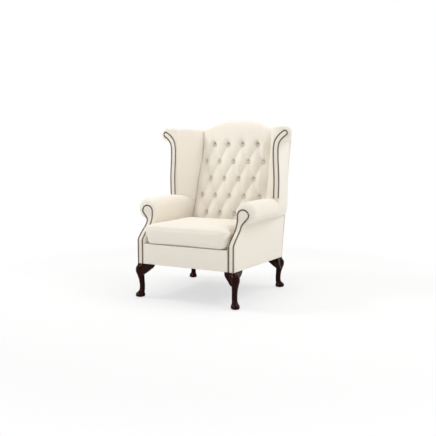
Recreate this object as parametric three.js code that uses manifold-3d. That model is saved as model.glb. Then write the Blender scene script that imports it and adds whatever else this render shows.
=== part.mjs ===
// Wingback armchair with a buttoned back, scroll arms, studded facings and cabriole legs.
// Millimetres, +Z up, the sitter looks towards -Y. The origin is on the floor, under the middle.
import * as THREE from 'three';
import { mergeVertices } from 'three/addons/utils/BufferGeometryUtils.js';
import Module from 'manifold-3d';

const wasm = await Module();
wasm.setup();

// Fitting gap between touching pieces, and how far a cutting shape runs past what it cuts
const clear = 0.3;
const overrun = 40;

// Body: lower edge, plan and rear slope
const bodyFront = -372.5;
const bodyRear = 279.5;
const skirtFront = 205;
const skirtRear = 195;
const sideFlare = 15;
const rearSlopeShare = 0.128;

// Cover panels and boards
const panelThick = 8;
const facingThick = 5;
const facingMargin = 6;
const dustCoverThick = 1.5;

// Beech frame
const seatRailTop = 300;
const railThick = 28;
const frontPostDepth = 30;
const frontPostWidth = 28.4;
const backPostDepth = 62;
const backPostWidth = 40;
const armRailWidth = 62;
const armRailHeight = 34;
const armRailDrop = 11;
const stayRailBottom = 373;
const stayRailHeight = 34;
const stayRailDepth = 52;
const crestRailBottom = 915;
const crestRailDrop = 45;
const uprightWidth = 28;
const uprightDepth = 45;
const uprightTop = 950;
const wingRailHeight = 34;
const wingRailWidth = 26;

// Arms: padded inner wall, round top and the face that sweeps back above the seat
const armInner = 268;
const armPad = 15;
const armTop = 584.5;
const armFront = -265.5;
const armRadius = 61.5;
const armCrownRise = 4;
const shoulderDepth = 28;
const sweepBottom = 345;
const sweepTop = 480;
const sweepShares = [[0, 0], [0.12, 0.1], [0.27, 0.28], [0.44, 0.53], [0.6, 0.75], [0.78, 0.91], [1, 1]];
const loopRadius = 34.5;
const loopDrop = 17;
const neckDrop = 47.5;

// Wings: facing line, rolled tip, and the narrower rear
const wingFront = 96.5;
const wingInner = 335;
const wingTop = 1005;
const wingHalfWidth = 450;
const wingRollRadius = 35;
const wingStudHalf = 15;
const wingInnerRound = 14;
const wingRearHalf = 344;
const wingRearBulge = 7;
const wingTopFall = 7;
const wingPadFront = 24;
const wingPadRear = 40;
const wingHollowTop = 922;
const wingLineShares = [
  [0, 0], [0.167, 0.056], [0.31, 0.154], [0.381, 0.272], [0.399, 0.43], [0.363, 0.587],
  [0.327, 0.685], [0.315, 0.799], [0.363, 0.874], [0.488, 0.921], [0.714, 0.965], [1, 1],
];
const wingRearShares = [[0, -0.6], [0.11, 1], [0.24, 0.45], [0.43, 0], [0.8, 0], [0.97, 0.25], [1.05, 1.1]];

// Buttoned inside back
const buttonTopZ = 901;
const buttonTopY = 285.5;
const buttonPitchX = 103;
const buttonPitchZ = 109.25;
const buttonRows = 5;
const buttonRadius = 10;
const buttonHeight = 6;
const buttonSeat = 10;
const buttonSides = 8;
// Button profile from its rear to its crown, as shares of its radius and height
const buttonShares = [[0, 0], [1, 0], [0.75, 0.75], [0, 1]];
const insideSlopeShare = 0.283;
const tuftCrown = 27;
const backBulge = 22;
const seamHalfLow = 256;
const seamHalfHigh = 242;
const seamLowZ = 455;
const seamHighZ = 950;
const seamPadDepth = 36;
const twineThick = 2.4;

// Back support plane, which the webbing lies on
const webPlaneLowZ = 390;
const webPlaneLowY = 205;
const webPlaneHighZ = 940;
const webPlaneHighY = 332;
const webbingWidth = 50;
const webbingThick = 2;
const webbingPitch = 100;
const webbingCrossLow = 720;
const webbingCrossPitch = 80;

// Crest with its raised middle
const crestSide = 998;
const crestRise = 63;
const crestHalf = 296;
const crestCap = 43;
const crestTuck = 22;
const crestShares = [
  [0, 1], [0.19, 1], [0.34, 0.9], [0.5, 0.69], [0.665, 0.365], [0.845, 0.127], [1, 0], [1.3, 0],
];
// Heights of the straight folds above the top buttons, and turns over the crest in degrees
const pleatShares = [0.333, 0.667, 1];
const crestTurns = [30, 60, 90, 120, 150, 180];

// Seat: springs, deck, loose cushion and its zip
const springCount = 5;
const springPitch = 104;
const springWire = 3.6;
const springHalfWidth = 22;
const springBends = 16;
const springLanding = 14;
const deckTop = 325;
const cushionHalf = 262;
const cushionFront = -378;
const cushionHeight = 116;
const cushionCrown = 15;
const cushionCorner = 38;
const cushionPinch = 5;
const cushionGap = 4;
// Height share and inset (a share of the corner) up the cushion's side, then size and rise of its crown
const cushionSideShares = [
  [0, 0.62], [0.03, 0.3], [0.12, 0.06], [0.3, 0], [0.7, 0], [0.88, 0.08], [0.97, 0.3], [1, 0.6],
];
const cushionCrownShares = [[0.75, 0.5], [0.45, 0.86], [0.15, 1]];
const zipLength = 400;
const zipHeight = 22;
const zipThick = 2;
const zipRecess = 10;
const sliderWidth = 9;
const sliderHeight = 14;
const sliderThick = 5;

// Studs: close-nailed decorative heads on a metal strip
const studPitch = 11;
const studRadius = 4.6;
const studHeight = 2.4;
const studNeck = 2.2;
const studNeckHeight = 0.8;
const studFootClear = 6;

// Cabriole legs
const footCutZ = 2.8;
const glideRadius = 11;
const glideHeight = 2.5;
const legKnee = 30;
const legEarThick = 30;
const legEarDepth = 24;
const earLong = 106;
const earShort = 64;
const legSetback = 1;
const frontSplayOut = 10;
const frontSplayBack = 5;
const rearSplayBack = 14;
// Height share, then centre along the outward diagonal and half sizes across and along it,
// these as shares of the knee's half width, and the share of the leg's splay
const legShares = [
  [0, -0.5, 0.7, 0.8, 1], [0.03, -0.5, 0.8, 0.92, 1], [0.085, -0.5, 0.78, 0.9, 1],
  [0.14, -0.66, 0.6, 0.68, 1],
  [0.2, -0.86, 0.5, 0.53, 1], [0.3, -0.9, 0.5, 0.5, 1], [0.45, -0.82, 0.53, 0.54, 1],
  [0.6, -0.65, 0.64, 0.68, 1], [0.72, -0.5, 0.8, 0.84, 1], [0.82, -0.56, 0.9, 0.94, 0.8],
  [0.9, -0.72, 0.88, 0.9, 0.4], [0.955, -0.95, 0.78, 0.8, 0.1], [1, -1.15, 0.7, 0.7, 0],
];
// Ear outlines from tip to root: distances from the corner as shares of the ear's length, then of
// the knee's half width, and drops as shares of one ear depth
const longTipShares = [[1, 0], [1, 0.5], [0.96, 0.88], [0.9, 1.2], [0.65, 2.13], [0.45, 2.75]];
const shortTipShares = [[1, 0], [1, 0.85], [0.9, 1.5], [0.64, 2.5]];
const earRootShares = [[1, 3.15], [0.75, 3.35], [0.45, 2.8], [0.22, 2], [0.08, 1.4], [0, 1], [0, 0]];

const flip = { right: 1, left: -1 };

function mix(a, b, share) {
  return a + (b - a) * share;
}

// Straight interpolation in a table of [place, value] pairs
function read(table, place) {
  let k = 1;
  while (k < table.length - 1 && place > table[k][0]) k += 1;
  const [a, b] = [table[k - 1], table[k]];
  return mix(a[1], b[1], Math.min(1, Math.max(0, (place - a[0]) / (b[0] - a[0]))));
}

function bodyShare(y) {
  return (y - bodyFront) / (bodyRear - bodyFront);
}

function skirt(y) {
  return mix(skirtFront, skirtRear, bodyShare(y));
}

function sideX(y) {
  return mix(halfWidthFront, halfWidthRear, bodyShare(y));
}

function rearY(z) {
  return bodyRear + rearSlopeShare * (z - skirtRear);
}

// Front surface of the arm: upright, then swept back to the scroll
function sweepY(z) {
  return mix(bodyFront, armFront, read(sweepShares, (z - sweepBottom) / (sweepTop - sweepBottom)));
}

function crestZ(x) {
  return crestSide + crestRise * read(crestShares, Math.abs(x) / crestHalf);
}

const webSlope = (webPlaneHighY - webPlaneLowY) / (webPlaneHighZ - webPlaneLowZ);

function webPlaneY(z) {
  return webPlaneLowY + webSlope * (z - webPlaneLowZ);
}

function buttonPlaneY(z) {
  return buttonTopY + insideSlopeShare * (z - buttonTopZ);
}

function seamX(z) {
  return mix(seamHalfLow, seamHalfHigh, (Math.min(z, seamHighZ) - seamLowZ) / (seamHighZ - seamLowZ));
}

// Turns a geometry's faces outward and welds its shared points
function welded(geometry) {
  const bare = geometry.clone();
  bare.deleteAttribute('normal');
  bare.deleteAttribute('uv');
  const merged = mergeVertices(bare);
  const p = merged.attributes.position;
  const index = Array.from(merged.index.array);
  const corners = [new THREE.Vector3(), new THREE.Vector3(), new THREE.Vector3()];
  let volume = 0;
  for (let i = 0; i < index.length; i += 3) {
    corners.forEach((corner, k) => corner.fromBufferAttribute(p, index[i + k]));
    volume += corners[0].dot(corners[1].cross(corners[2]));
  }
  if (volume < 0) index.reverse();
  merged.setIndex(index);
  return merged;
}

function solid(geometry) {
  const { attributes, index } = welded(geometry);
  const vertProperties = new Float32Array(attributes.position.array);
  const triVerts = new Uint32Array(index.array);
  return new wasm.Manifold(new wasm.Mesh({ numProp: 3, vertProperties, triVerts }));
}

function geometryOf(manifold) {
  const { vertProperties, triVerts } = manifold.getMesh();
  const geometry = new THREE.BufferGeometry();
  geometry.setAttribute('position', new THREE.BufferAttribute(vertProperties, 3));
  geometry.setIndex(new THREE.BufferAttribute(triVerts, 1));
  return geometry;
}

function mirrored(geometry) {
  return welded(geometry.clone().scale(-1, 1, 1));
}

// Closes a ring of points with triangles by cutting off one corner after another, as the ring
// is seen along its widest side; points in line with their neighbours stay in use
function capTriangles(ring) {
  const normal = new THREE.Vector3();
  ring.forEach((point, i) => normal.add(point.clone().cross(ring[(i + 1) % ring.length])));
  const sizes = normal.toArray().map(Math.abs);
  const drop = sizes.indexOf(Math.max(...sizes));
  const flat = ring.map((point) => point.toArray().filter((value, i) => i !== drop));
  const area = (a, b, c) => (b[0] - a[0]) * (c[1] - a[1]) - (b[1] - a[1]) * (c[0] - a[0]);
  const turn = Math.sign(THREE.ShapeUtils.area(flat.map((pair) => new THREE.Vector2(...pair))));
  const left = ring.map((point, i) => i);
  const triangles = [];
  while (left.length > 3) {
    const sizesHere = left.map((corner, k) => {
      const [a, b, c] = [left.at(k - 1), corner, left[(k + 1) % left.length]].map((i) => flat[i]);
      const size = area(a, b, c) * turn;
      const blocked = left.some((i) => {
        const point = flat[i];
        if (point === a || point === b || point === c) return false;
        return [[a, b], [b, c], [c, a]].every(([from, to]) => area(from, to, point) * turn >= 0);
      });
      return blocked || size <= 0 ? Infinity : new THREE.Vector2(...a).distanceTo(new THREE.Vector2(...c));
    });
    const k = sizesHere.indexOf(Math.min(...sizesHere));
    triangles.push([left.at(k - 1), left[k], left[(k + 1) % left.length]]);
    left.splice(k, 1);
  }
  triangles.push([...left]);
  return triangles;
}

// A closed body through rings that all have the same number of points
function loft(rings, splitsBack = () => false) {
  const count = rings[0].length;
  const triangles = [];
  for (let i = 0; i < rings.length - 1; i += 1) {
    for (let j = 0; j < count; j += 1) {
      const [a, b] = [i * count + j, i * count + ((j + 1) % count)];
      const [c, d] = [a + count, b + count];
      if (splitsBack(i, j)) triangles.push([a, b, c], [b, d, c]);
      else triangles.push([a, b, d], [a, d, c]);
    }
  }
  capTriangles(rings[0]).forEach(([a, b, c]) => triangles.push([c, b, a]));
  const last = (rings.length - 1) * count;
  capTriangles(rings.at(-1)).forEach(([a, b, c]) => triangles.push([a + last, b + last, c + last]));
  const geometry = new THREE.BufferGeometry().setFromPoints(rings.flat());
  geometry.setIndex(triangles.flat());
  return geometry;
}

// Prisms of a flat outline along X (outline in Y, Z), along Y (X, Z) and along Z (X, Y)
function prismX(outline, from, to) {
  return loft([from, to].map((x) => outline.map(([y, z]) => new THREE.Vector3(x, y, z))));
}

function prismY(outline, from, to) {
  return loft([from, to].map((y) => outline.map(([x, z]) => new THREE.Vector3(x, y, z))));
}

function box(x0, x1, y0, y1, z0, z1) {
  const geometry = new THREE.BoxGeometry(x1 - x0, y1 - y0, z1 - z0);
  return geometry.translate((x0 + x1) / 2, (y0 + y1) / 2, (z0 + z1) / 2);
}

// A board between two sloping planes, given as functions of height
function slopedBoard(outline, frontY, backY) {
  return loft([frontY, backY].map((plane) => outline.map(([x, z]) => new THREE.Vector3(x, plane(z), z))));
}

// Moves a closed or open outline's points outwards along their mean normal
function grown(outline, distance, closed = true) {
  return outline.map((point, i) => {
    const before = outline[closed ? (i + outline.length - 1) % outline.length : Math.max(0, i - 1)];
    const after = outline[closed ? (i + 1) % outline.length : Math.min(outline.length - 1, i + 1)];
    const here = new THREE.Vector2(...point);
    const into = here.clone().sub(new THREE.Vector2(...before)).normalize();
    const out = new THREE.Vector2(...after).sub(here).normalize();
    if (into.lengthSq() === 0) into.copy(out);
    if (out.lengthSq() === 0) out.copy(into);
    const normal = new THREE.Vector2(-into.y - out.y, into.x + out.x).normalize();
    const reach = distance / normal.dot(new THREE.Vector2(-into.y, into.x));
    return here.addScaledVector(normal, reach).toArray();
  });
}

// Places that several pieces share
const studInner = armInner + armPad + clear;
const studOuter = studInner + frontPostWidth;
const halfWidthFront = studOuter + clear + panelThick;
const halfWidthRear = halfWidthFront + sideFlare;
const armX = armInner + armRadius;
const armZ = armTop - armRadius;
const loopX = studInner + loopRadius;
const loopZ = armZ - loopDrop;
const neckZ = loopZ - neckDrop;
const armPanelTop = armZ - armRadius - clear;
const armRailTop = armZ - armRailDrop;
const armRailOuter = studInner + armRailWidth;
const wingBack = wingFront + facingThick + clear;
const wingTipX = wingHalfWidth - wingRollRadius;
const wingTipZ = wingTop - wingRollRadius;
const wingFootX = sideX(wingFront);
const wingFootZ = armPanelTop + clear;
const wingFacingHalf = wingStudHalf + facingMargin;
const postOuter = sideX(backPostFront(skirtRear)) - panelThick - clear;
const postInner = postOuter - backPostWidth;
const deckBottom = seatRailTop + springWire + 2 * clear;
const insideBottom = deckTop + clear;
const cushionBottom = deckTop + clear;
const borderHalf = studInner - facingMargin - clear;
const railBottomLift = dustCoverThick + 2 * clear;

function backPostFront(z) {
  return rearY(z) - panelThick - clear - backPostDepth;
}

function backPostRear(z) {
  return rearY(z) - panelThick - clear;
}

// Line of studs round an arm facing: up the inside, round the scroll and down the outside
function keyhole() {
  const points = [[studInner, 0], [studInner, loopZ]];
  const turns = 8;
  for (let k = 1; k <= turns; k += 1) {
    const angle = Math.PI * (1 - k / turns);
    points.push([loopX + loopRadius * Math.cos(angle), loopZ + loopRadius * Math.sin(angle)]);
  }
  return [...points, [studOuter, neckZ], [studOuter, 0]];
}

function keyholeFrom(bottom, margin) {
  const outline = grown(keyhole(), margin);
  outline[0][1] = bottom;
  outline[outline.length - 1][1] = bottom;
  return outline;
}

// The slice between two distances behind the swept arm front
function sweepSlice(near, far, x0, x1) {
  const heights = sweepShares.map(([share]) => mix(sweepBottom, sweepTop, share));
  const levels = [0, ...heights, wingTop];
  const front = levels.map((z) => [sweepY(z) + near, z]);
  const back = levels.map((z) => [sweepY(z) + far, z]).reverse();
  return solid(prismX([...front, ...back], x0, x1));
}

function aheadOfArm(depth) {
  return sweepSlice(bodyFront - armFront - overrun, depth, 0, wingHalfWidth);
}

// Everything above, or below, the sloping lower edge of the body
function belowSkirt(lift) {
  const [y0, y1] = [bodyFront - overrun, bodyRear + overrun];
  const outline = [[y0, 0], [y1, 0], [y1, skirt(y1) + lift], [y0, skirt(y0) + lift]];
  return solid(prismX(outline, -wingHalfWidth, wingHalfWidth));
}

function armFacing() {
  const outline = prismY(keyholeFrom(0, facingMargin), bodyFront - overrun, 0);
  return solid(outline).intersect(sweepSlice(0, facingThick, 0, wingHalfWidth)).subtract(belowSkirt(0));
}

function frontPost(margin) {
  const outline = prismY(keyholeFrom(0, margin), bodyFront - overrun, 0);
  const near = facingThick + clear - margin;
  const far = facingThick + clear + frontPostDepth + margin;
  return solid(outline).intersect(sweepSlice(near, far, 0, wingHalfWidth)).subtract(belowSkirt(0));
}

function armRail(margin) {
  const [x0, x1] = [studInner - margin, armRailOuter + margin];
  const [z0, z1] = [armRailTop - armRailHeight - margin, armRailTop + margin];
  const y0 = armFront + facingThick + frontPostDepth + 2 * clear - margin;
  const outline = [[y0, z0], [y0, z1], [backPostFront(z1) - clear, z1], [backPostFront(z0) - clear, z0]];
  return solid(prismX(outline, x0, x1)).subtract(beyondWing());
}

// Round top of the arm, from the shoulder behind the facing to its rear end
function armRoll(margin, rear) {
  const rings = [];
  const sides = 20;
  const ring = (x, y, z, radius) => {
    const points = [];
    for (let k = 0; k < sides; k += 1) {
      const angle = (2 * Math.PI * k) / sides;
      points.push(new THREE.Vector3(x + radius * Math.cos(angle), y, z + radius * Math.sin(angle)));
    }
    rings.push(points);
  };
  const start = armFront + facingThick + clear;
  const edge = loopRadius + facingMargin;
  const steps = 4;
  for (let k = 0; k <= steps; k += 1) {
    const angle = (Math.PI / 2) * (k / steps);
    const share = Math.sin(angle);
    const y = start + shoulderDepth * (1 - Math.cos(angle));
    const radius = mix(edge, armRadius, share) + margin;
    ring(mix(loopX, armX, share), y, mix(loopZ, armZ - armCrownRise, share), radius);
  }
  const middle = (start + rear) / 2;
  ring(armX, middle, armZ, armRadius + margin);
  ring(armX, rear, armZ - armCrownRise, armRadius + margin);
  return solid(loft(rings));
}

// Rear run of the inner arm, inside the wing, drawn in to the seam beside the buttoned back
function armReturn(margin) {
  const outline = [[0, deckBottom - margin]];
  const steps = 5;
  for (let k = 0; k <= steps; k += 1) {
    const angle = Math.PI - (Math.PI / 2) * (k / steps);
    const reach = armRadius + margin;
    outline.push([armRadius + reach * Math.cos(angle), armZ - armCrownRise + reach * Math.sin(angle)]);
  }
  const outer = armRailOuter - armInner - wingPadFront + armPad + margin;
  outline.push([outer, outline.at(-1)[1]], [outer, armRailTop], [armPad + margin, armRailTop]);
  outline.push([armPad + margin, deckBottom - margin]);
  outline[0][0] = -margin;
  const seat = (x, z, share) => {
    const drawn = (armInner - seamX(z) - clear) * share * Math.max(0, 1 - x / armRadius);
    return armInner + x - drawn;
  };
  const rear = (z) => buttonPlaneY(z) + seamPadDepth;
  return solid(loft([
    outline.map(([x, z]) => new THREE.Vector3(seat(x, z, 0), wingFront - clear - overrun / 2, z)),
    outline.map(([x, z]) => new THREE.Vector3(seat(x, z, 0), wingBack, z)),
    outline.map(([x, z]) => new THREE.Vector3(seat(x, z, 1), rear(z), z)),
  ]));
}

function insideArm() {
  const wall = solid(box(armInner, armInner + armPad, bodyFront, wingBack, deckBottom, armZ));
  const railFoot = armRailTop - armRailHeight;
  const hollow = solid(box(armInner + armPad, studOuter, bodyFront, wingFront, 0, railFoot));
  const borderRear = bodyFront + panelThick + clear;
  const border = solid(box(0, borderHalf + clear, bodyFront, borderRear, 0, deckTop + clear));
  return armRoll(0, wingFront - clear).add(wall).add(armReturn(0))
    .subtract(hollow).subtract(armRail(clear)).subtract(frontPost(clear)).subtract(border)
    .subtract(aheadOfArm(facingThick + clear)).subtract(wingUpright(clear));
}

function outsideArm() {
  const rings = [bodyFront + facingThick + clear, bodyRear - panelThick].map((y) => [
    [sideX(y) - panelThick, 0], [sideX(y), 0], [sideX(y), armPanelTop], [sideX(y) - panelThick, armPanelTop],
  ].map(([x, z]) => new THREE.Vector3(x, z > 0 && y > 0 ? backPostRear(z) : y, z)));
  rings[1].forEach((point) => point.setY(backPostRear(point.z)));
  return solid(loft(rings)).subtract(aheadOfArm(facingThick + clear)).subtract(belowSkirt(0))
    .subtract(armRoll(clear, wingFront));
}

// Middle line of a wing facing, from the arm up to the middle of the rolled tip
const wingLine = new THREE.SplineCurve(wingLineShares.map(([x, z]) =>
  new THREE.Vector2(mix(wingFootX, wingTipX, x), mix(wingFootZ, wingTipZ, z)))).getPoints(26);

function wingLineX(z) {
  return read(wingLine.map((point) => [point.y, point.x]), z);
}

function wingStrip(half) {
  const line = wingLine.map((point) => point.toArray());
  const innerSide = grown(line, half, false);
  const outerSide = grown(line, -half, false).reverse();
  const [from, to] = [innerSide.at(-1), outerSide[0]];
  const start = Math.atan2(from[1] - wingTipZ, from[0] - wingTipX);
  const end = Math.atan2(to[1] - wingTipZ, to[0] - wingTipX);
  const turns = 6;
  const tip = [];
  for (let k = 1; k < turns; k += 1) {
    const angle = mix(start, end, k / turns);
    tip.push([wingTipX + half * Math.cos(angle), wingTipZ + half * Math.sin(angle)]);
  }
  return { innerSide, tip, outerSide };
}

function wingFacing() {
  const { innerSide, tip, outerSide } = wingStrip(wingFacingHalf);
  const strip = solid(prismY([...innerSide, ...tip, ...outerSide], wingFront, wingFront + facingThick));
  const foot = solid(box(0, wingHalfWidth, 0, wingBack, 0, wingFootZ));
  const beside = solid(box(0, armInner + armPad + clear, 0, wingBack, 0, wingTop));
  return strip.subtract(foot).subtract(beside).subtract(armReturn(clear)).subtract(armRail(clear));
}

function wingOuterX(z, share) {
  const place = (z - wingFootZ) / (wingTipZ - wingFootZ);
  const rear = wingRearHalf + wingRearBulge * read(wingRearShares, place);
  return mix(wingLineX(z) + wingFacingHalf, rear, share);
}

function wingLevels() {
  const levels = [];
  wingLineShares.forEach(([, share]) => levels.push(mix(wingFootZ, wingTipZ, share)));
  return [...levels.filter((z) => z < wingHollowTop), wingHollowTop - clear];
}

// Skin between two depths inside the wing's outer face; its lowest level is drawn in to the body
function wingSkin(near, far, lift) {
  const levels = wingLevels();
  levels[levels.length - 1] += lift;
  return solid(loft(levels.map((z, k) => {
    const [front, rear] = [wingOuterX(z, 0), wingOuterX(z, 1)];
    const [frontInner, rearInner] = k === 0 ? [wingFootX, sideX(bodyRear)] : [front, rear];
    return [
      [frontInner - far, wingBack], [front - near, wingBack],
      [rear - near, backPostRear(z)], [rearInner - far, backPostRear(z)],
    ].map(([x, y]) => new THREE.Vector3(x, y, z));
  })));
}

function outsideWing() {
  return wingSkin(0, panelThick, 0);
}

function beyondWing() {
  return wingSkin(-overrun, panelThick + clear, clear);
}

// Stands on the arm rail and is sawn to the wing's line
function wingUpright(margin) {
  const bottom = armRailTop + clear - margin;
  const levels = wingLevels().filter((z) => z > bottom && z < uprightTop);
  const [half, rear] = [uprightWidth / 2 + margin, wingBack + uprightDepth + margin];
  const board = loft([bottom, ...levels, uprightTop + margin].map((z) => {
    const [x0, x1] = [wingLineX(z) - half, wingLineX(z) + half];
    return [[x0, wingBack], [x1, wingBack], [x1, rear], [x0, rear]]
      .map(([x, y]) => new THREE.Vector3(x, y, z));
  }));
  return solid(board).subtract(beyondWing());
}

function wingRail(margin) {
  const z1 = wingHollowTop - 2 * clear + margin;
  const z0 = wingHollowTop - 2 * clear - wingRailHeight - margin;
  const share = uprightDepth / (rearY(z0) - wingFront);
  const rows = [[wingBack + uprightDepth + clear, share], [0, 1]];
  return solid(loft(rows.map(([y, place]) => [[0, z0], [1, z0], [1, z1], [0, z1]].map(([side, z]) => {
    const outer = wingOuterX(z0, place) - panelThick - clear;
    const x = place === 1 ? postOuter : outer;
    const across = side ? margin : -wingRailWidth - margin;
    return new THREE.Vector3(x + across, y || backPostFront(z) - clear, z);
  }))));
}

function backPost(margin) {
  const top = crestSide - crestRailDrop + margin;
  const [x0, x1] = [postInner - margin, postOuter + margin];
  const outline = [[x0, 0], [x1, 0], [x1, top], [x0, top]];
  const board = slopedBoard(outline, (z) => backPostFront(z) - margin, (z) => backPostRear(z) + margin);
  return solid(board).subtract(belowSkirt(0));
}

function crestRailOutline(half, margin) {
  const top = [];
  const steps = 12;
  for (let k = 0; k <= steps; k += 1) {
    const x = mix(-half, half, k / steps);
    top.push([x, crestZ(x) - crestRailDrop + margin]);
  }
  return [[half, crestRailBottom - margin], [-half, crestRailBottom - margin], ...top];
}

function crestRail(margin) {
  const front = (z) => webPlaneY(z) + webbingThick + clear - margin;
  const half = postInner - clear + margin;
  return solid(slopedBoard(crestRailOutline(half, margin), front, (z) => backPostRear(z) + margin));
}

// Turns of the wing's rolled edge, in degrees from level
const wingRollTurns = [-75, -50, -25, 0, 25, 50, 70, 90];
const wingTuckZ = wingTipZ + wingRollRadius * Math.sin(THREE.MathUtils.degToRad(wingRollTurns[0])) - clear;

// One level of the wing's padding, as a ring: inner face, seam with the back, rear, outer face
function wingPadRing(z, inner, outer, full, flush = false) {
  const lower = full ? (wingTopFall * (z - wingHollowTop)) / (wingTop - wingHollowTop) : 0;
  const seam = seamX(z) + 2 * clear;
  const seamY = buttonPlaneY(z) + backBulge / 3;
  const hidden = full ? backPostRear(z) : buttonPlaneY(z) + seamPadDepth;
  const rear = flush ? rearY(z) : hidden;
  const rearOuter = full ? wingOuterX(Math.min(z, wingTipZ), 1) : seam + wingPadRear;
  return [
    [inner, wingBack, z], [mix(inner, seam, 0.5), mix(wingBack, seamY, 0.42), z - lower / 2],
    [seam, seamY, z - lower], [seam, rear, z - lower], [rearOuter, rear, z - lower],
    [mix(rearOuter, outer, 0.5), mix(rear, wingBack, 0.5), z - lower / 2], [outer, wingBack, z],
  ].map((values) => new THREE.Vector3(...values));
}

function insideWing() {
  const rings = wingLevels().filter((z) => z > armTop - armRadius).map((z) =>
    wingPadRing(z, wingInner, wingInner + wingPadFront, false));
  rings.push(wingPadRing(wingHollowTop, wingInner, wingOuterX(wingHollowTop, 0), true));
  wingRollTurns.map(THREE.MathUtils.degToRad).forEach((angle, k) => {
    const z = wingTipZ + wingRollRadius * Math.sin(angle);
    const inner = wingInner + wingInnerRound * (1 - Math.cos(Math.max(0, angle)));
    rings.push(wingPadRing(z, inner, wingTipX + wingRollRadius * Math.cos(angle), true, k > 0));
  });
  return solid(loft(rings)).subtract(armReturn(clear)).subtract(wingUpright(clear)).subtract(wingRail(clear))
    .subtract(backPost(clear)).subtract(crestRail(clear)).subtract(armRail(clear));
}

// Height of the buttoned surface over the button plane: deep at buttons, folded between them
function tuftHeight(x, z) {
  const along = Math.max(-2, Math.min(2, x / buttonPitchX)) + 0.5;
  const up = (z - buttonTopZ) / (2 * buttonPitchZ);
  const [u, v] = [Math.PI * (along + up), Math.PI * (along - up)];
  const round = Math.sqrt((Math.sin(u) ** 2 + Math.sin(v) ** 2) / 2);
  const fold = Math.sqrt(Math.abs(Math.sin(u) * Math.sin(v)));
  const edge = Math.min(1, (seamX(z) - Math.abs(x)) / (seamX(z) - 2 * buttonPitchX + clear));
  const low = Math.min(1, Math.max(0, (z - insideBottom) / (buttonPitchZ)));
  const tuft = mix(1, 0.5 * round + 0.5 * fold, low);
  return tuftCrown * tuft * Math.sqrt(Math.max(0, edge));
}

// Above the top buttons the folds run straight up and fade out at the crest
function pleatHeight(x, share) {
  const fold = Math.abs(Math.sin(Math.PI * (x / buttonPitchX + 0.5)));
  const reach = (seamHalfHigh - Math.abs(x)) / (seamHalfHigh - 2 * buttonPitchX);
  const edge = Math.sqrt(Math.max(0, Math.min(1, reach)));
  return tuftCrown * mix(Math.sqrt(fold), 1, share) * mix(edge, 1, share);
}

function backFaceY(x, z, height) {
  return buttonPlaneY(z) + backBulge * (x / seamHalfLow) ** 2 - height;
}

// Columns of the padded back at the crest: a quarter of the button pitch apart, then the edges
function crestColumns() {
  const columns = [];
  for (let k = -8; k <= 8; k += 1) columns.push((k * buttonPitchX) / 4);
  const edge = mix(2 * buttonPitchX, seamHalfHigh, 0.5);
  return [-seamHalfHigh, -edge, ...columns, edge, seamHalfHigh];
}

function insideBack() {
  const rows = 2 * buttonRows;
  const across = crestColumns();
  const padBack = (z) => webPlaneY(z) - twineThick - 2 * clear;
  const rings = across.map((value, k) => {
    const nearEdge = Math.max(0, 2 - k, k - across.length + 3) / 2;
    const xAt = (z) => value + Math.sign(value) * nearEdge * (seamX(z) - seamHalfHigh);
    const ring = [];
    const start = buttonTopZ - rows * (buttonPitchZ / 2);
    for (let row = -1; row <= 2 * rows; row += 1) {
      const z = row < 0 ? insideBottom : start + row * (buttonPitchZ / 4);
      ring.push([xAt(z), backFaceY(xAt(z), z, tuftHeight(xAt(z), z)), z]);
    }
    const x = xAt(seamHighZ);
    const shoulder = crestZ(x) - crestCap;
    pleatShares.forEach((share) => {
      const z = mix(buttonTopZ, shoulder, share);
      ring.push([x, backFaceY(x, z, pleatHeight(x, share)), z]);
    });
    const [y0, y1] = [ring.at(-1)[1], rearY(shoulder)];
    crestTurns.map(THREE.MathUtils.degToRad).forEach((angle) => {
      const y = mix(y0, y1, (1 - Math.cos(angle)) / 2);
      ring.push([x, y, shoulder + crestCap * Math.sin(angle)]);
    });
    const tuck = shoulder - crestTuck;
    const under = crestZ(x) - crestRailDrop + clear;
    ring.push([x, rearY(tuck), tuck], [x, rearY(tuck) - panelThick, tuck]);
    ring.push([x, rearY(under) - panelThick, under], [x, padBack(under), under]);
    ring.push([xAt(insideBottom), padBack(insideBottom), insideBottom]);
    return ring.map((values) => new THREE.Vector3(...values));
  });
  const foldRises = (i, j) => ((i + j) & 1) === 0;
  let pad = solid(loft(rings, foldRises)).subtract(crestRail(clear));
  buttonPlaces().flat().forEach((place) => { pad = pad.subtract(buttonTwine(place, clear)); });
  return pad;
}

// Rows of buttons from the top: even rows have one fewer than odd rows
function buttonPlaces() {
  const places = [];
  for (let row = 0; row < buttonRows; row += 1) {
    const count = row % 2 ? 5 : 4;
    const z = buttonTopZ - row * buttonPitchZ;
    const xs = Array.from({ length: count }, (unused, k) => (k - (count - 1) / 2) * buttonPitchX);
    places.push(xs.map((x) => ({ x, z, y: backFaceY(x, z, 0) })));
  }
  return places;
}

// The twine behind a button; with a margin it is the hole that the twine passes through
function buttonTwine({ x, y, z }, margin) {
  const half = twineThick / 2 + margin;
  const near = y - buttonSeat - buttonHeight / 2;
  return solid(box(x - half, x + half, near, webPlaneY(z) - clear, z - half, z + half));
}

// A covered button and its twine; the button lies where the folds meet
function buttonSolid(place) {
  const profile = buttonShares.map(([out, rise]) =>
    new THREE.Vector2(out * buttonRadius, -rise * buttonHeight));
  const cap = new THREE.LatheGeometry(profile, buttonSides);
  return solid(cap.translate(place.x, place.y - buttonSeat, place.z)).add(buttonTwine(place, 0));
}

function buttonRow(places) {
  const half = twineThick / 2;
  const [first, last] = [places[0], places.at(-1)];
  const far = webPlaneY(first.z) - clear;
  const near = far - twineThick + clear;
  const tie = box(first.x - half, last.x + half, near, far, first.z - half, first.z + half);
  return places.reduce((row, place) => row.add(buttonSolid(place)), solid(tie));
}

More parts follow.
